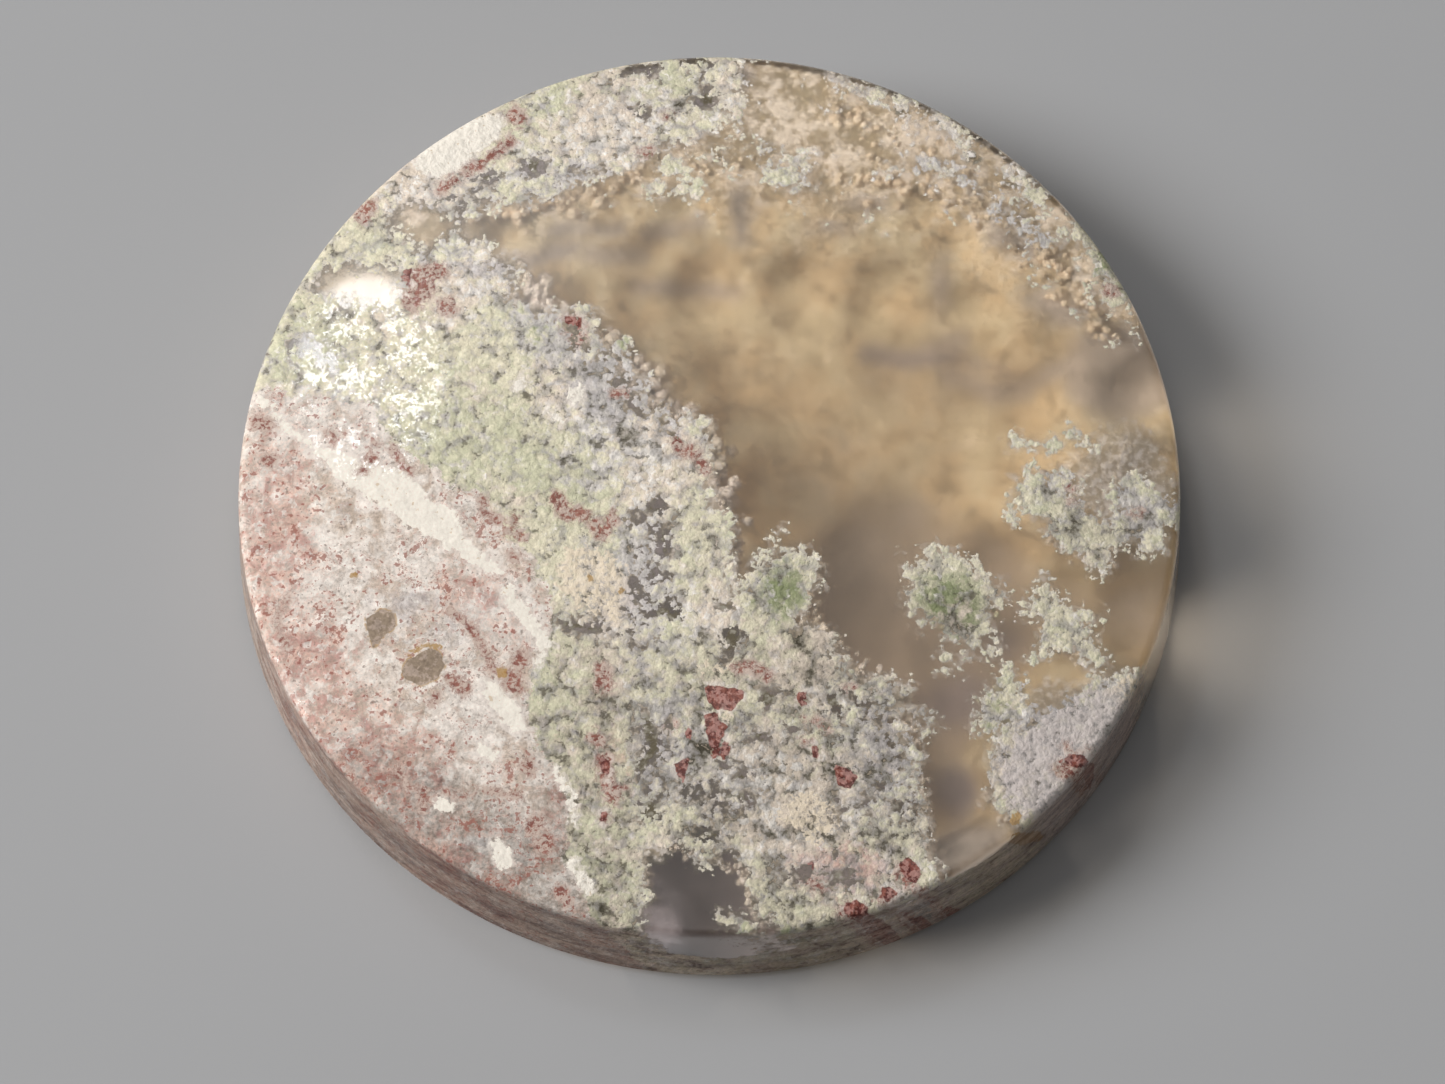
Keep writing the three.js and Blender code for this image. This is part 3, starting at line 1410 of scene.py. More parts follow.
    def _chalcedony(self, tree: MossTree) -> bpy.types.Node:
        """Makes the clear chalcedony's surface.

        Args:
            tree: The material's nodes.

        Returns:
            The shader.
        """
        return tree.node("ShaderNodeBsdfPrincipled", None, {
            "Base Color": self.smoke,
            "Roughness": self.haze,
            "IOR": self.ior,
            "Transmission Weight": 1 - self.milk,
            "Coat Weight": 1.0,
            "Coat Roughness": self.polish,
        })

    def _let_light_in(self, tree: MossTree, surface: bpy.types.Node) -> None:
        """Lets lamps light the inside of the stone, and tints light on its way through it.

        Args:
            tree: The material's nodes.
            surface: The shader of the polished outside.
        """
        lamps = tree.node("ShaderNodeLightPath").outputs["Is Shadow Ray"]
        let_in = tree.node("ShaderNodeBsdfTransparent", None, {"Color": self.lamp_tint})
        lit = tree.mix_shaders(lamps, surface, let_in)
        inputs = {"Color": self.absorbed, "Density": self.density}
        body = tree.node("ShaderNodeVolumeAbsorption", None, inputs)
        tree.feed(tree.output.inputs["Surface"], lit.outputs[0])
        tree.feed(tree.output.inputs["Volume"], body.outputs[0])

    def _moss(self, tree: MossTree, cover: Value, rise: Value) -> bpy.types.NodeSocket:
        """Paints the crumbly moss, with painted light on the crumbs' tops and painted shade on their sides
        and in the hollows between them.

        Args:
            tree: The material's nodes.
            cover: Millimetres inside the moss, with its ragged edge.
            rise: How far each crumb stands out.

        Returns:
            The moss's colour.
        """
        loose, dim = tree.layer(Layer.LOOSE), tree.layer(Layer.DIM)
        own = tree.clump + tree.knot * 0.7 + tree.crumb.tone * 0.3 + 0.15
        paint = tree.blend((own + tree.layer(Layer.SAGE) * 0.25).above(0.1, 0.7), self.straw, self.sage)
        paint = tree.blend((tree.layer(Layer.GREEN) + (own - 0.3) * 0.8).above(0.3, 1.0), paint, self.green)
        warm = tree.lump.other * 0.2 + tree.drift * 1.1 + tree.knot * 0.9 + dim * 0.15
        paint = tree.blend((warm + tree.layer(Layer.CREAM) * 0.3).above(0.14, 0.5) * 0.9, paint, self.beige)
        pale = tree.crumb.other * 0.4 + tree.knot + tree.layer(Layer.CREAM) * 0.2
        paint = tree.blend(pale.above(0.32, 0.62), paint, self.cream)
        grey = tree.layer(Layer.LAVENDER) * 0.35 + loose * 0.12
        grey = grey - tree.clump * 1.5 - tree.drift * 0.8 - tree.speck * 0.8
        paint = tree.blend(grey.above(0.08, 0.44) * 0.75, paint, self.lavender)
        rosy = tree.layer(Layer.BLUSH) + (own - 0.3) * 1.2
        paint = tree.blend(rosy.above(0.5, 1.3) * 0.7, paint, self.rose)
        # Painted shade on the sides of lumps
        sides = tree.lump.middle + tree.grain * 0.6 + tree.knot * 0.6 + loose * 0.15
        paint = tree.blend(sides.above(0.55, 0.9) * 0.6, paint, self.ash_and_side_shade)
        fringe = (cover + tree.knot * 0.6).above(0.24, 0.04)
        paint = tree.blend(fringe * 0.4, paint, self.lavender)
        # Painted shade over the dim areas
        shaded = dim * (0.24 - tree.clump * 1.2)
        # Painted light: crumbs are lighter the further they stand out
        paint = tree.lighten(paint, 1.05 + rise * 0.5 + tree.grain * 0.8 - shaded)
        chalk = tree.layer(Layer.CHALK) + tree.knot * 1.2 + tree.grain * 0.6
        chalk = (chalk + tree.clump * 0.9).above(-0.06, 0.1)
        crumbly = 0.8 + tree.knot * 1.4 + tree.speck
        powder = tree.blend(tree.layer(Layer.LAVENDER).above(0.4, 0.9), self.chalk, self.mauve_white)
        flecked = (tree.speck + tree.grain * 0.9 + tree.clump * 0.4).above(-0.02, -0.14)
        powder = tree.blend(flecked * 0.55, powder, self.ash_and_side_shade)
        paint = tree.blend(chalk * crumbly, paint, powder)
        # Painted shade: the hollows between crumbs, their pits and the deepest gaps are darkened
        deep = rise - loose * 0.1 - dim * 0.08 + chalk * 0.1
        deep = deep + tree.layer(Layer.COVER) * 0.06 + tree.layer(Layer.LAVENDER) * 0.06
        paint = tree.blend(deep.above(-0.06, -0.36) * 0.62, paint, self.recess_shade)
        pits = tree.pits(deep) * (0.5 + loose * 0.1 + dim * 0.06 - tree.layer(Layer.LAVENDER) * 0.12)
        paint = tree.blend(pits, paint, self.pit_shade)
        return tree.blend(deep.above(-0.34, -0.5) * 0.9, paint, self.gap_shade)

    def _jasper(self, tree: MossTree) -> bpy.types.NodeSocket:
        """Paints the speckled jasper.

        Args:
            tree: The material's nodes.

        Returns:
            The jasper's colour.
        """
        wisp = tree.cloud(1.6, 6, 0.68, shift=53, twist=0.7)
        mist = tree.cloud(0.9, 6, 0.7, shift=19, twist=0.5)
        felt = tree.cloud(8, 3, 0.7, shift=71)
        blush, dim = tree.layer(Layer.BLUSH), tree.layer(Layer.DIM)
        linen = wisp + tree.drift * 0.6 + tree.layer(Layer.CREAM) * 0.15
        paint = tree.blend(linen.above(-0.18, 0.12), self.fawn, self.linen)
        rosy = blush * 0.35 + mist * 1.6 + felt * 0.7
        paint = tree.blend(rosy.above(0.0, 0.55), paint, self.salmon)
        rosier = blush * 0.25 - wisp * 1.3 + tree.knot * 0.8 + felt * 0.5
        paint = tree.blend(rosier.above(0.08, 0.5) * 0.75, paint, self.rose)
        pale = tree.layer(Layer.LAVENDER) * 0.45 - mist * 1.2 + tree.knot * 0.5
        paint = tree.blend(pale.above(0.34, 0.68) * 0.65, paint, self.lavender)
        paint = tree.blend((tree.crumb.tone * 0.4 + tree.knot).above(0.28, 0.42) * 0.7, paint, self.cream)
        shine = 0.98 + felt + wisp * 0.9 + tree.knot * 0.7 + tree.grain * 0.4
        # Painted shade over the dim areas
        shine = shine - dim * 0.36
        paint = tree.lighten(paint, shine)
        veins = (wisp + 0.03).size().above(0.016, 0.002) * (tree.clump - tree.knot * 0.3).above(-0.03, 0.07)
        paint = tree.blend(veins * 0.5, paint, self.slate)
        pits = (tree.speck + tree.grain * 0.4 - wisp * 0.3).above(-0.16, -0.22)
        paint = tree.blend(pits * 0.7, paint, self.slate)
        curls = (tree.knot - 0.02).size().above(0.02, 0.004) * (mist + tree.drift * 0.4).above(0.04, 0.1)
        sparks = (tree.speck + tree.knot * 0.6 + felt * 0.5 + mist * 0.8).above(0.14, 0.2)
        return tree.blend(sparks.larger(curls) * 0.75, paint, self.rust)

    def _veins(self, tree: MossTree, paint: bpy.types.NodeSocket) -> bpy.types.NodeSocket:
        """Paints the white veins and the brown lenses over the moss and the jasper.

        Args:
            tree: The material's nodes.
            paint: The colour below.

        Returns:
            The colour with them on it.
        """
        torn = tree.knot * 0.9 + tree.grain * 0.3
        bone = tree.lighten(self.bone, 1.03 + tree.grain * 0.4 + tree.knot * 0.3)
        vein = tree.layer(Layer.VEIN) + torn * 0.8
        frayed = vein + tree.speck * 0.8 + tree.clump * 0.8
        paint = tree.blend(frayed.above(-0.16, 0.02) * 0.6, paint, self.linen)
        bone = tree.blend((tree.speck + tree.knot * 0.5).above(-0.16, -0.24) * 0.5, bone, self.tan)
        paint = tree.blend(vein.above(-0.02, 0.04), paint, bone)
        lens = tree.layer(Layer.LENS) + torn * 0.2
        rim = lens.above(-0.09, -0.03) * tree.knot.above(-0.08, 0.04)
        paint = tree.blend(rim * 0.7, paint, self.ochre)
        brown = tree.blend((tree.knot + tree.grain * 0.5).above(0.0, 0.12) * 0.5, self.brown, self.mauve)
        brown = tree.lighten(brown, 0.9 + tree.grain + tree.clump * 0.8)
        return tree.blend(lens.above(-0.03, 0.0), paint, brown)

    def _reds(self, tree: MossTree, paint: bpy.types.NodeSocket) -> bpy.types.NodeSocket:
        """Paints the red grains, the dark red shards and the ochre specks.

        Args:
            tree: The material's nodes.
            paint: The colour below.

        Returns:
            The colour with them on it.
        """
        torn = tree.knot * 0.9 + tree.grain * 0.3
        red = tree.layer(Layer.RED) + torn * 0.7
        brighter = (tree.clump + (tree.crumb.tone - 0.5) * 0.4).above(-0.08, 0.1)
        scarlet = tree.blend(brighter, self.maroon, self.rust)
        grains = (tree.grain + tree.speck * 0.7 + tree.knot * 0.5).above(0.08, -0.1)
        grainy = tree.blend(grains, self.mauve, scarlet)
        paint = tree.blend(red.above(-0.16, 0.04) * 0.5, paint, self.mauve)
        paint = tree.blend(red.above(-0.06, 0.06) * 0.9, paint, grainy)
        curls = tree.knot.size().above(0.02, 0.008) * tree.layer(Layer.RED).above(-0.24, -0.06)
        paint = tree.blend(curls * 0.4, paint, self.maroon)
        shard = tree.layer(Layer.SHARD) + torn * 0.22
        inner = tree.knot * 1.2 + tree.grain * 0.7 + shard
        flesh = tree.blend(inner.above(0.0, 0.16), self.blood, self.maroon)
        flesh = tree.blend((tree.knot + tree.grain * 0.5).above(-0.02, 0.1) * 0.7, flesh, self.rust)
        speckled = (tree.speck + tree.grain * 0.8 + shard * 0.4).above(0.0, 0.14)
        flesh = tree.blend(speckled * 0.7, flesh, self.rose)
        halo = shard.above(-0.24, -0.04) * (tree.knot + tree.clump).above(-0.05, 0.1)
        paint = tree.blend(halo * 0.6, paint, self.linen)
        paint = tree.blend(shard.above(-0.02, 0.02) * 0.95, paint, flesh)
        ochre = (tree.layer(Layer.OCHRE) + torn * 0.4).above(-0.03, 0.03)
        return tree.blend(ochre * 0.8, paint, self.ochre)

    def _veil(self, tree: MossTree, near: Value, cleft: Value) -> bpy.types.NodeSocket:
        """Paints the moss that lies just under the polish and looks blurred, with painted shade where it
        sinks away and in the clefts.

        Args:
            tree: The material's nodes.
            near: Millimetres inside that moss, below 0 where it sinks away.
            cleft: 1 in the dark clefts between clumps and 0 elsewhere.

        Returns:
            Its colour.
        """
        puff = tree.speck * 1.2 + tree.knot * 0.8 + tree.clump * 0.8
        paint = tree.blend(puff.above(-0.15, 0.25), self.veil_tan, self.veil_pale)
        # Painted shade where the blurred moss sinks away
        paint = tree.blend(near.above(0.16, -0.08), paint, self.veil_sinking_shade)
        # In the clefts: painted shade mixed with grey moss
        sunk = tree.blend(puff.above(-0.1, 0.22) * 0.85, self.veil_cleft_shade, self.veil_grey)
        paint = tree.blend(cleft, paint, sunk)
        return tree.lighten(paint, 0.96 + puff * 0.4 + tree.knot * 0.3)

    def _wall(self, tree: MossTree, paint: bpy.types.NodeSocket) -> bpy.types.NodeSocket:
        """Draws the pattern out in thin beds down the wall, and shows the buried moss on the back.

        Args:
            tree: The material's nodes.
            paint: The colour below.

        Returns:
            The colour of the whole outside.
        """
        beds = tree.cloud(1.0, 5, 0.68, stretch=(0.5, 0.5, 2.4), shift=13, twist=0.6)
        lines = tree.cloud(1.4, 4, 0.65, stretch=(0.5, 0.5, 4), shift=41, twist=0.5)
        shown = tree.blend(beds.above(-0.14, 0.1), self.wall_brown, self.wall_pale)
        shown = tree.blend(lines.above(-0.06, -0.14) * 0.7, shown, self.blood)
        shown = tree.lighten(shown, 0.73 + tree.grain * 0.9 + beds * 0.6)
        paint = tree.blend(tree.layer(Layer.WALL) * 0.66, paint, shown)
        buried = (tree.layer(Layer.BURIED) + tree.grain * 0.6).above(0.3, 0.7)
        tan = tree.lighten(self.tan, 0.85 + beds * 0.8 + tree.grain * 0.7)
        return tree.blend(buried, paint, tan)


@dataclass(frozen=True)
class BuriedMossFinish:
    """The rough moss inside the chalcedony.

    Attributes:
        name: The material's name.
        main: Its main colour.
        second: The colour of the larger clouds in it.
        light: The colour of its palest crumbs.
        crust: The colour of what lies near the polish.
        shadow: Painted shade between the crumbs there, and in scattered patches.
        murk: The colour of what lies deepest.
        dark: Painted shade, outside the lit windows and along the dark streaks.
        roughness: How rough it is.
        shine: How strongly it reflects.
    """

    name: str
    main: Colour
    second: Colour
    light: Colour
    crust: Colour = shade(242, 234, 224)
    shadow: Colour = shade(176, 163, 138)
    murk: Colour = shade(178, 170, 164)
    dark: Colour = shade(146, 142, 158)
    roughness: float = 0.9
    shine: float = 0.1

    def make(self) -> bpy.types.Material:
        """Makes the material.

        Returns:
            The material.
        """
        tree = MossTree(self.name)
        painted_shade, shallow, deep, crest = (tree.layer(layer) for layer in BedLayer)
        cloudy = tree.drift + tree.clump + tree.knot * 0.4
        paint = tree.blend(cloudy.above(-0.1, 0.12), self.main, self.second)
        paint = tree.blend((tree.grain + tree.crumb.tone * 0.3).above(0.18, 0.4), paint, self.light)
        # Painted shade in scattered patches
        paint = tree.blend((tree.clump + tree.knot * 0.8).above(-0.04, -0.16) * 0.7, paint, self.shadow)
        # Painted light and shade: crumbs pale on their crests and shaded between them
        crest = crest + tree.grain * 0.5 + tree.knot * 0.5
        near = shallow * 0.8 + tree.clump * 1.6 + tree.knot * 1.2 + tree.grain * 0.8
        near = near.above(0.2, 0.7)
        paint = tree.blend(near, paint, tree.blend(crest.above(0.2, 0.75), self.shadow, self.crust))
        paint = tree.blend((deep + tree.clump * 0.9).above(0.1, 0.9), paint, self.murk)
        # Painted shade: the bed darkened outside the lit windows and along the dark streaks
        paint = tree.blend((painted_shade + tree.drift * 0.6).above(0.2, 1.0) * 0.9, paint, self.dark)
        mottle = tree.grain * 1.3 + tree.clump * 0.9 + tree.drift * 0.5
        # Painted light: lighter on the crests
        paint = tree.lighten(paint, 0.92 + crest * 0.12 + mottle)
        rough = tree.node("ShaderNodeBsdfPrincipled", None, {
            "Base Color": paint,
            "Roughness": self.roughness,
            "Specular IOR Level": self.shine,
        })
        tree.feed(tree.output.inputs["Surface"], rough.outputs[0])
        return tree.material


TAN_MOSS = BuriedMossFinish("tan moss", shade(228, 208, 174), shade(204, 194, 168), shade(236, 228, 208))


@dataclass(frozen=True)
class FloorFinish:
    """A plain pale floor.

    Attributes:
        paint: Its colour.
        roughness: How rough it is.
    """

    paint: Colour = (0.46, 0.46, 0.465)
    roughness: float = 0.9

    def make(self) -> bpy.types.Material:
        """Makes the material.

        Returns:
            The material.
        """
        tree = ShaderTree("pale floor")
        inputs = {"Base Color": self.paint, "Roughness": self.roughness}
        matt = tree.node("ShaderNodeBsdfPrincipled", None, inputs)
        tree.feed(tree.output.inputs["Surface"], matt.outputs[0])
        return tree.material


# Pieces


def finished(name: str, mesh: bmesh.types.BMesh, material: bpy.types.Material) -> bpy.types.Object:
    """Turns a mesh under work into a smooth object in the scene.

    Args:
        name: The piece's name.
        mesh: The mesh, which is freed.
        material: Its finish.

    Returns:
        The object.
    """
    data = bpy.data.meshes.new(name)
    mesh.to_mesh(data)
    mesh.free()
    data.materials.append(material)
    data.shade_smooth()
    piece = bpy.data.objects.new(name, data)
    bpy.context.collection.objects.link(piece)
    return piece


def places_of(mesh: bmesh.types.BMesh) -> np.ndarray:
    """Lists a mesh's points, one a row."""
    return np.array([corner.co[:] for corner in mesh.verts])


def ball(subdivisions: int) -> bpy.types.Mesh:
    """Makes a ball of radius 1 to copy.

    Args:
        subdivisions: How finely it is divided.

    Returns:
        The ball's mesh.
    """
    round_mesh = bmesh.new()
    bmesh.ops.create_icosphere(round_mesh, subdivisions=subdivisions, radius=1)
    data = bpy.data.meshes.new("ball")
    round_mesh.to_mesh(data)
    round_mesh.free()
    return data


def add_ball(mesh: bmesh.types.BMesh, model: bpy.types.Mesh, centre: Vector, radius: float) -> None:
    """Adds a copy of a ball to a mesh.

    Args:
        mesh: The mesh.
        model: A ball of radius 1, which is left as it was.
        centre: The copy's centre.
        radius: The copy's radius.
    """
    place = Matrix.LocRotScale(centre, None, Vector((radius, radius, radius)))
    model.transform(place)
    mesh.from_mesh(model)
    model.transform(place.inverted())


@dataclass
class PolishedStone:
    """The outside of the stone, which carries the pattern.

    Attributes:
        form: The stone's sizes.
        pattern: What lies where on it.
        turns: How many steps it is turned in.
        step: The distance between its rings.
        crease_deg: The least angle that stays a crease.
    """

    form: StoneForm
    pattern: Pattern
    turns: int = 512
    step: float = 0.18 * MM
    crease_deg: float = 25

    def build(self) -> bpy.types.Object:
        """Turns the section round the axis and lays the pattern on it.

        Returns:
            The stone's object.
        """
        mesh = bmesh.new()
        corners = [mesh.verts.new((reach, 0, height)) for reach, height in self.form.section(self.step)]
        edges = [mesh.edges.new(pair) for pair in zip(corners, corners[1:])]
        bmesh.ops.spin(
            mesh, geom=corners + edges, cent=(0, 0, 0), axis=(0, 0, 1), angle=math.tau,
            steps=self.turns, use_merge=True,
        )
        bmesh.ops.remove_doubles(mesh, verts=mesh.verts, dist=self.step * 1e-4)
        bmesh.ops.recalc_face_normals(mesh, faces=mesh.faces)
        for corner in mesh.verts:
            scale = self.form.cut_by_hand(corner.co.x, corner.co.y)
            corner.co.xy = corner.co.xy * scale
        places = places_of(mesh)
        piece = finished("polished_stone", mesh, AgateFinish().make())
        for layer, values in self.pattern.layers(places).items():
            kept = piece.data.attributes.new(layer.value, "FLOAT", "POINT")
            kept.data.foreach_set("value", values.astype(np.float32))
        piece.data.set_sharp_from_angle(angle=math.radians(self.crease_deg))
        return piece


@dataclass
class BuriedMoss:
    """The bed of moss that is seen through the clear chalcedony.

    Attributes:
        pattern: What lies where, which says where the bed can be seen.
        reach: How near the wall the bed comes.
        cells: How many squares it has each way.
        floor: How far it stays above the back.
        roof: How far it stays below the dome.
        brow_sink: How much further it stays below the dome at the brow.
        lumps: How often lumps of each size come in a millimetre, and how high they stand.
        fades: How much lower lumps of each size get for each millimetre of depth.
        least_lump: How low they get at most, as a share of their height.
        crest_share: How much lumps of each size add to the crests.
        bend: How far lumps are bent out of shape, as a share of their size.
        shade_edge_px: How far the painted shade outside the lit windows and along the dark streaks takes to
            fade.
        smoke_edge_px: How far a grey patch takes to fade.
        hidden_mm: How far inside the solid moss the bed is left out.
        shallow_mm: Above which depth it takes the crust's colours.
        deep_mm: Below which depth it turns murky.
        deep_fade_mm: How far that takes.
    """

    pattern: Pattern
    reach: float = 14.76 * MM
    cells: int = 400
    floor: float = 0.12 * MM
    roof: float = 0.03 * MM
    brow_sink: float = 0.12 * MM
    lumps: tuple[Point, ...] = ((0.8, 0.05), (2.1, 0.06), (4.6, 0.04))
    fades: tuple[float, ...] = (0.25, 0.45, 0.6)
    least_lump: float = 0.35
    crest_share: float = 0.6
    bend: float = 0.35
    shade_edge_px: float = 40
    smoke_edge_px: float = 30
    hidden_mm: float = 0.85
    shallow_mm: float = 1.3
    deep_mm: float = 2.7
    deep_fade_mm: float = 1.4

    def lump(self, per_mm: float, x: float, y: float) -> float:
        """Works out how far lumps of one size stand out.

        Args:
            per_mm: How many lumps fit in a millimetre.
            x: Place to the right.
            y: Place away from the viewer.

        Returns:
            The height as a share of the lumps' size, from -0.7 to 0.3.
        """
        place = Vector((x / MM * per_mm, y / MM * per_mm, per_mm))
        place += noise.noise_vector(place * 1.4) * self.bend
        return 0.3 - noise.voronoi(place)[0][0] ** 2

    def depths(self, places: np.ndarray, top: np.ndarray) -> tuple[np.ndarray, np.ndarray, np.ndarray]:
        """Works out how deep the bed lies, and which pixel shows each point of it.

        Args:
            places: Points of the bed, one a row.
            top: The height of the dome over each.

        Returns:
            Pixels to the right, pixels down, and millimetres below the dome.
        """
        depth_mm = np.zeros(len(places))
        for _ in range(3):
            aside = self.pattern.view.bend * depth_mm * MM
            u, v = self.pattern.view.project(np.column_stack((places[:, 0], places[:, 1] - aside, top)))
            depth_mm = sounding(u, v)
        return u, v, depth_mm

    def layers(
        self, u: np.ndarray, v: np.ndarray, depth_mm: np.ndarray, crests: np.ndarray
    ) -> dict[BedLayer, np.ndarray]:
        """Works out every field at the bed's points.

        Args:
            u: Pixels to the right.
            v: Pixels down.
            depth_mm: Depth below the dome.
            crests: How far the lumps stand out, about 0.5.

        Returns:
            Each layer's values, from 0 to 1.
        """
        # Painted shade outside the lit windows, which the moss above would shade, and along the dark
        # streaks
        lit_px = np.maximum(WINDOW.depth_in(u, v), deepest(SIDE_WINDOWS, u, v))
        unlit = np.clip(0.5 - lit_px / self.shade_edge_px, 0, 1)
        shaded = np.clip(0.5 + deepest(SHADES, u, v) / self.shade_edge_px, 0, 0.75)
        murky = np.clip((depth_mm - self.deep_mm) / self.deep_fade_mm, 0, 1)
        smoky = np.clip(0.6 + deepest(SMOKES, u, v) / self.smoke_edge_px, 0, 0.9)
        return {
            BedLayer.PAINTED_SHADE: np.maximum(shaded, unlit),
            BedLayer.SHALLOW: np.clip(self.shallow_mm - depth_mm, 0, 1),
            BedLayer.DEEP: np.maximum(smoky, murky),
            BedLayer.CREST: np.clip(crests, 0, 1),
        }

    def build(self) -> bpy.types.Object:
        """Makes the bed, with a skirt down to the back round every edge.

        Returns:
            The bed's object.
        """
        form = self.pattern.form
        mesh = bmesh.new()
        bmesh.ops.create_grid(mesh, x_segments=self.cells, y_segments=self.cells, size=self.reach)
        places = places_of(mesh)
        reaches = np.hypot(places[:, 0], places[:, 1])
        top = form.dome_height(reaches)
        u, v, depth_mm = self.depths(places, top)
        lifts = np.zeros(len(places))
        crests = np.full(len(places), 0.5)
        for (per_mm, high_mm), fade in zip(self.lumps, self.fades):
            shares = np.array([self.lump(per_mm, x, y) for x, y, _ in places])
            lifts += shares * high_mm * np.clip(1.5 - depth_mm * fade, self.least_lump, 1)
            crests += shares * self.crest_share
        brow = np.clip(1 + (reaches - form.brow_reach) / form.brow_radius, 0, 1)
        heights = np.minimum(top - (depth_mm - lifts) * MM, top - self.roof - brow * self.brow_sink)
        hidden = reaches > self.reach
        hidden |= self.pattern.cover(u, v, np.zeros(len(places))) >= self.hidden_mm
        hidden |= heights < self.floor
        fields = self.layers(u, v, depth_mm, crests)
        kept = [(mesh.verts.layers.float.new(layer.value), values) for layer, values in fields.items()]
        for i, corner in enumerate(mesh.verts):
            corner.co.z = heights[i]
            for layer, values in kept:
                corner[layer] = values[i]
        gone = [face for face in mesh.faces if any(hidden[c.index] for c in face.verts)]
        bmesh.ops.delete(mesh, geom=gone, context="FACES")
        edges = [edge for edge in mesh.edges if edge.is_boundary]
        skirt = bmesh.ops.extrude_edge_only(mesh, edges=edges)["geom"]
        for corner in (part for part in skirt if isinstance(part, bmesh.types.BMVert)):
            corner.co.z = self.floor
        bmesh.ops.recalc_face_normals(mesh, faces=mesh.faces)
        return finished("buried_moss", mesh, TAN_MOSS.make())


class Tone(Enum):
    """The tones of moss crumbs under the polish."""

    GREY = "grey"
    GREEN = "green"
    CREAM = "cream"


TONES = {
    Tone.GREY: BuriedMossFinish(
        "grey moss", shade(232, 222, 216), shade(222, 212, 198), shade(246, 240, 232)
    ),
    Tone.GREEN: BuriedMossFinish(
        "green moss", shade(180, 184, 150), shade(200, 196, 168), shade(226, 222, 204)
    ),
    Tone.CREAM: BuriedMossFinish(
        "cream moss", shade(240, 226, 204), shade(232, 216, 194), shade(248, 240, 226)
    ),
}


@dataclass(frozen=True)
class Crumbs:
    """Crumbs of moss that hang just under the polish.

    Attributes:
        name: The piece's name.
        tone: Which finish they have.
        route: Pixels of the line that they lie along.
        spread_px: How far they stray from it.
        count: How many there are.
        sizes_mm: Their smallest and largest radius.
        depths_mm: Their least and greatest depth.
        seed: Sets their places.
        looseness: How loosely they gather round the line, where 1 fills the whole spread.
        knobs: How many knobs each has.
        core_share: The radius of its middle, as a share of its own.
        knob_shares: The smallest and largest radius of its knobs, as shares of its own.
        rough_per_mm: How often their surface goes up and down in a millimetre.
        rough_mm: How far it goes up and down.
    """

    name: str
    tone: Tone
    route: tuple[Point, ...]
    spread_px: float
    count: int
    sizes_mm: Point
    depths_mm: Point
    seed: int
    looseness: float = 0.45
    knobs: int = 4
    core_share: float = 0.8
    knob_shares: Point = (0.3, 0.5)
    rough_per_mm: float = 4.5
    rough_mm: float = 0.07

    def build(self, form: StoneForm, view: PhotoView, material: bpy.types.Material) -> bpy.types.Object:
        """Makes the crumbs as one mesh.

        Args:
            form: The stone's sizes.
            view: The photograph's camera.
            material: The finish.

        Returns:
            The crumbs' object.
        """
        chance = random.Random(self.seed)
        mesh = bmesh.new()
        core, knob = ball(2), ball(1)
        lengths = [math.dist(a, b) for a, b in zip(self.route, self.route[1:])]
        for _ in range(self.count):
            leg = chance.choices(range(len(lengths)), weights=lengths)[0]
            (x0, y0), (x1, y1) = self.route[leg], self.route[leg + 1]
            along = chance.random()
            stray = min(abs(chance.gauss(0, self.looseness)), 1) * self.spread_px
            heading = chance.uniform(0, math.tau)
            depth = chance.uniform(*self.depths_mm) * MM
            size = chance.uniform(*self.sizes_mm) * MM
            centre = view.under_dome(
                x0 + (x1 - x0) * along + stray * math.cos(heading),
                y0 + (y1 - y0) * along + stray * math.sin(heading),
                depth + size,
                form,
            )
            if centre.xy.length > form.brow_reach - size - form.brow_radius or centre.z < size * 2:
                continue
            add_ball(mesh, core, centre, size * self.core_share)
            for _ in range(self.knobs):
                aside = Vector([chance.gauss(0, 1) for _ in range(3)]).normalized()
                small = chance.uniform(*self.knob_shares) * size
                add_ball(mesh, knob, centre + aside * (size - small), small)
        for model in (core, knob):
            bpy.data.meshes.remove(model)
        for corner in mesh.verts:
            corner.co += noise.noise_vector(corner.co / MM * self.rough_per_mm) * self.rough_mm * MM
        return finished(self.name, mesh, material)


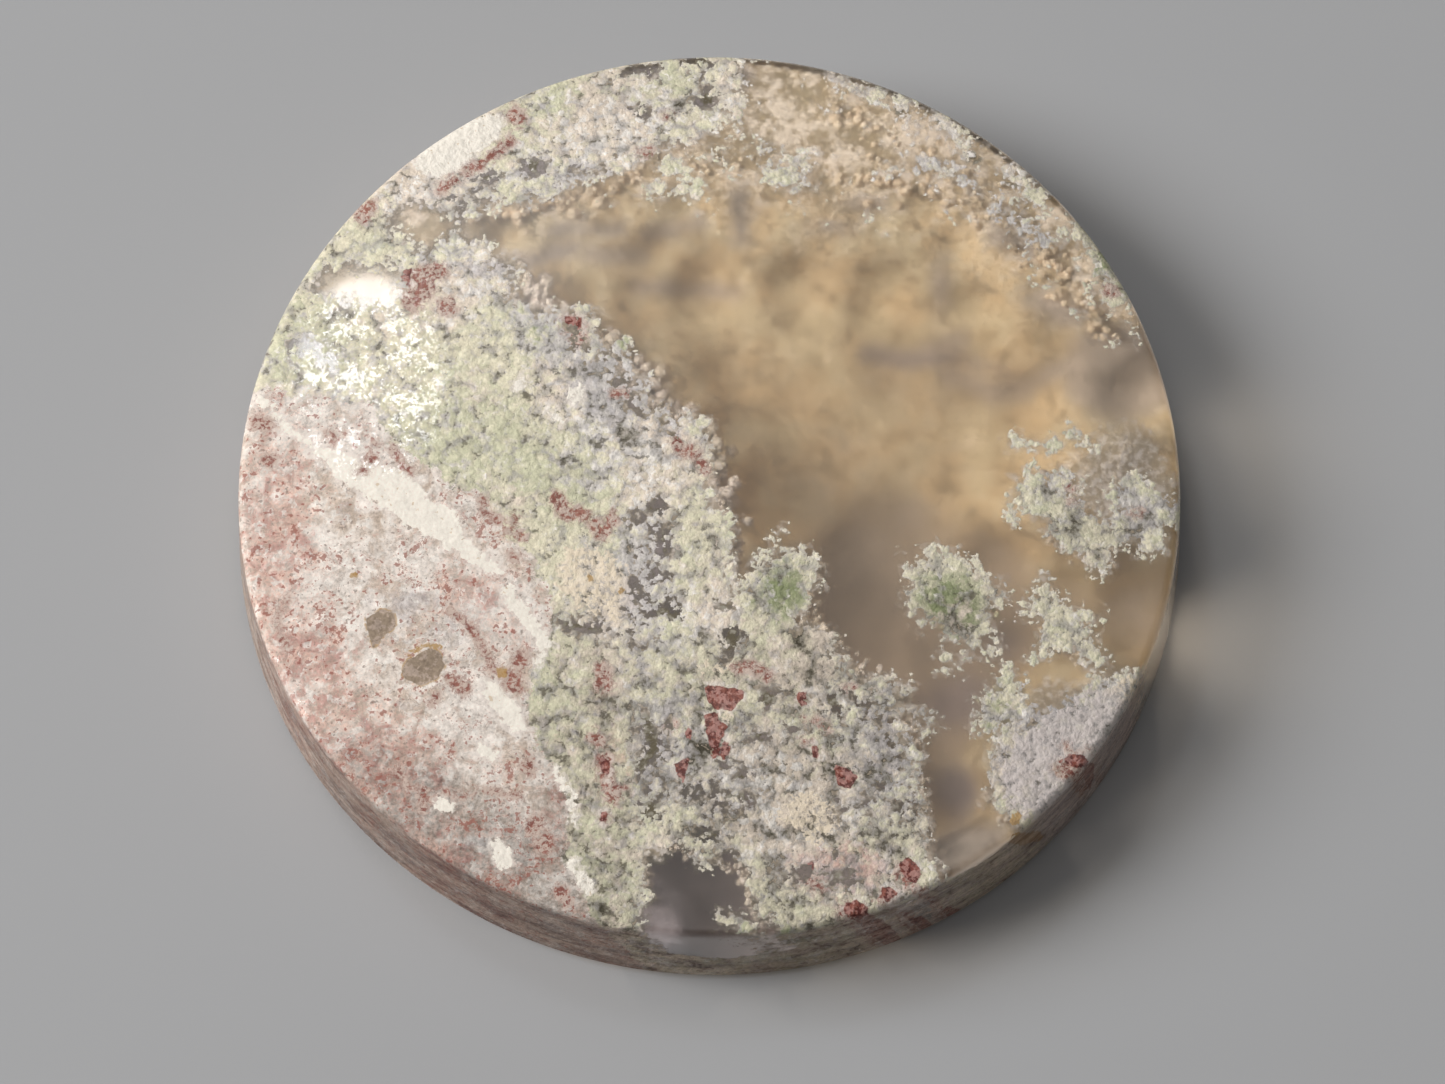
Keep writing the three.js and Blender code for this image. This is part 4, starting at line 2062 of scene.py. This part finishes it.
CRUMBS = (
    Crumbs(
        "edge_crumbs", Tone.GREY,
        (
            (520, 275), (565, 322), (615, 352), (645, 386), (672, 412), (706, 434), (712, 480),
            (728, 530), (728, 585),
        ),
        spread_px=24, count=420, sizes_mm=(0.12, 0.34), depths_mm=(0.0, 0.6), seed=11,
    ),
    Crumbs(
        "green_island_crumbs", Tone.GREEN,
        ((925, 570), (955, 590), (985, 605), (960, 625), (925, 600)),
        spread_px=22, count=200, sizes_mm=(0.06, 0.16), depths_mm=(0.05, 0.9), seed=12,
    ),
    Crumbs(
        "right_island_crumbs", Tone.GREY,
        (
            (1030, 490), (1070, 495), (1120, 520), (1160, 510), (1130, 470), (1125, 440), (1110, 550),
            (1050, 530),
        ),
        spread_px=24, count=380, sizes_mm=(0.07, 0.18), depths_mm=(0.05, 1.1), seed=13,
    ),
    Crumbs(
        "small_island_crumbs", Tone.CREAM,
        ((1045, 590), (1050, 620), (1045, 645), (1085, 655), (1090, 620)),
        spread_px=18, count=160, sizes_mm=(0.06, 0.15), depths_mm=(0.05, 0.9), seed=14,
    ),
    Crumbs(
        "low_island_crumbs", Tone.GREEN,
        ((1010, 680), (990, 705), (995, 722), (1020, 712)),
        spread_px=16, count=120, sizes_mm=(0.06, 0.15), depths_mm=(0.05, 0.9), seed=15,
    ),
    Crumbs(
        "rim_crumbs", Tone.GREY,
        ((1100, 690), (1060, 715), (1010, 740), (1000, 780), (1015, 815), (1050, 800)),
        spread_px=20, count=300, sizes_mm=(0.08, 0.2), depths_mm=(0.05, 0.9), seed=16,
    ),
    Crumbs(
        "middle_crumbs", Tone.GREY,
        (
            (815, 560), (805, 610), (832, 650), (880, 685), (905, 700), (905, 740), (922, 790),
            (926, 840), (944, 884),
        ),
        spread_px=18, count=380, sizes_mm=(0.07, 0.18), depths_mm=(0.05, 0.9), seed=17,
    ),
    Crumbs(
        "front_crumbs", Tone.GREY,
        ((646, 900), (648, 845), (690, 848), (722, 862), (745, 866), (752, 900), (765, 925)),
        spread_px=12, count=200, sizes_mm=(0.06, 0.16), depths_mm=(0.05, 0.8), seed=18,
    ),
    Crumbs(
        "crust_crumbs", Tone.CREAM,
        (
            (480, 215), (540, 205), (600, 190), (650, 170), (700, 160), (760, 170), (820, 170),
            (880, 180), (940, 190),
        ),
        spread_px=26, count=420, sizes_mm=(0.1, 0.26), depths_mm=(0.34, 1.1), seed=19,
    ),
    Crumbs(
        "right_crust_crumbs", Tone.CREAM,
        ((830, 110), (900, 140), (960, 180), (1010, 220), (1050, 260), (1080, 290), (1110, 330)),
        spread_px=30, count=380, sizes_mm=(0.1, 0.24), depths_mm=(0.26, 1.0), seed=20,
    ),
)


# The setting


@dataclass(frozen=True)
class Softbox:
    """A soft studio light.

    Attributes:
        name: The light's name.
        towards: The direction from the stone to the light.
        distance: How far it stands from the stone.
        width: Its size from left to right.
        height: Its size the other way.
        brightness: How bright its face is.
    """

    name: str
    towards: tuple[float, float, float]
    distance: float
    width: float
    height: float
    brightness: float

    def make(self) -> bpy.types.Object:
        """Makes the light.

        Returns:
            The light's object.
        """
        data = bpy.data.lights.new(self.name, "AREA")
        data.shape = "ELLIPSE"
        data.size = self.width
        data.size_y = self.height
        data.energy = self.brightness * math.pi**2 * self.width * self.height / 4
        lamp = bpy.data.objects.new(self.name, data)
        way = Vector(self.towards).normalized()
        lamp.location = way * self.distance
        side = (Vector((1, 0, 0)) - way * way.x).normalized()
        lamp.rotation_euler = Matrix((side, way.cross(side), way)).transposed().to_euler()
        bpy.context.collection.objects.link(lamp)
        return lamp


@dataclass(frozen=True)
class Studio:
    """The floor and the lights, none of which is part of the stone.

    Attributes:
        floor_size: Half of the floor's width.
        sky: How bright the surroundings are.
        softboxes: The lights.
    """

    floor_size: float = 1.5
    sky: float = 0.08
    # Each one's name, direction, distance, width, height and brightness
    softboxes: tuple[Softbox, ...] = field(default_factory=lambda: (
        Softbox("key", (-0.246, 0.434, 0.867), 0.6, 0.064, 0.1, 16),
        Softbox("halo", (-0.32, 0.54, 0.78), 0.62, 0.3, 0.3, 0.8),
        Softbox("left", (-0.82, 0.06, 0.6), 0.7, 0.4, 0.4, 10.9),
        Softbox("overhead", (-0.1, 0.1, 0.99), 1.0, 1.4, 1.4, 0.32),
    ))

    def build(self) -> None:
        """Makes the floor, the surroundings and the lights."""
        mesh = bmesh.new()
        bmesh.ops.create_grid(mesh, x_segments=1, y_segments=1, size=self.floor_size)
        floor = finished("floor", mesh, FloorFinish().make())
        world = bpy.data.worlds.new("surroundings")
        world.use_nodes = True
        background = world.node_tree.nodes["Background"]
        background.inputs["Color"].default_value = (1, 1, 1, 1)
        background.inputs["Strength"].default_value = self.sky
        bpy.context.scene.world = world
        for softbox in self.softboxes:
            softbox.make()


def dress(piece: bpy.types.Object, replaced: str | None = None) -> None:
    """Fixes a piece to the stone's body and reports it.

    Args:
        piece: The piece.
        replaced: The CAD node that it stands for, if it does.
    """
    if replaced:
        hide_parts(replaced)
    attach(piece, "root")
    triangles = sum(len(face.vertices) - 2 for face in piece.data.polygons)
    LOG.info("%s has %d triangles", piece.name, triangles)


def write_sizes() -> None:
    """Updates the view layer.
    """
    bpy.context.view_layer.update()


def main() -> None:
    """Builds the stone, its buried moss and the studio."""
    logging.basicConfig(level=logging.INFO, format="%(name)s: %(message)s")
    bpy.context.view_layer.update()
    low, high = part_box("stone")
    form = StoneForm(thickness=high.z - low.z)
    view = PhotoView()
    view.make_camera()
    Studio().build()
    pattern = Pattern(form, view)
    dress(PolishedStone(form, pattern).build(), "stone")
    dress(BuriedMoss(pattern).build())
    materials = {tone: finish.make() for tone, finish in TONES.items()}
    for crumbs in CRUMBS:
        dress(crumbs.build(form, view, materials[crumbs.tone]))
    bpy.context.scene.view_settings.view_transform = "Standard"
    write_sizes()


if __name__ == "__main__":
    main()
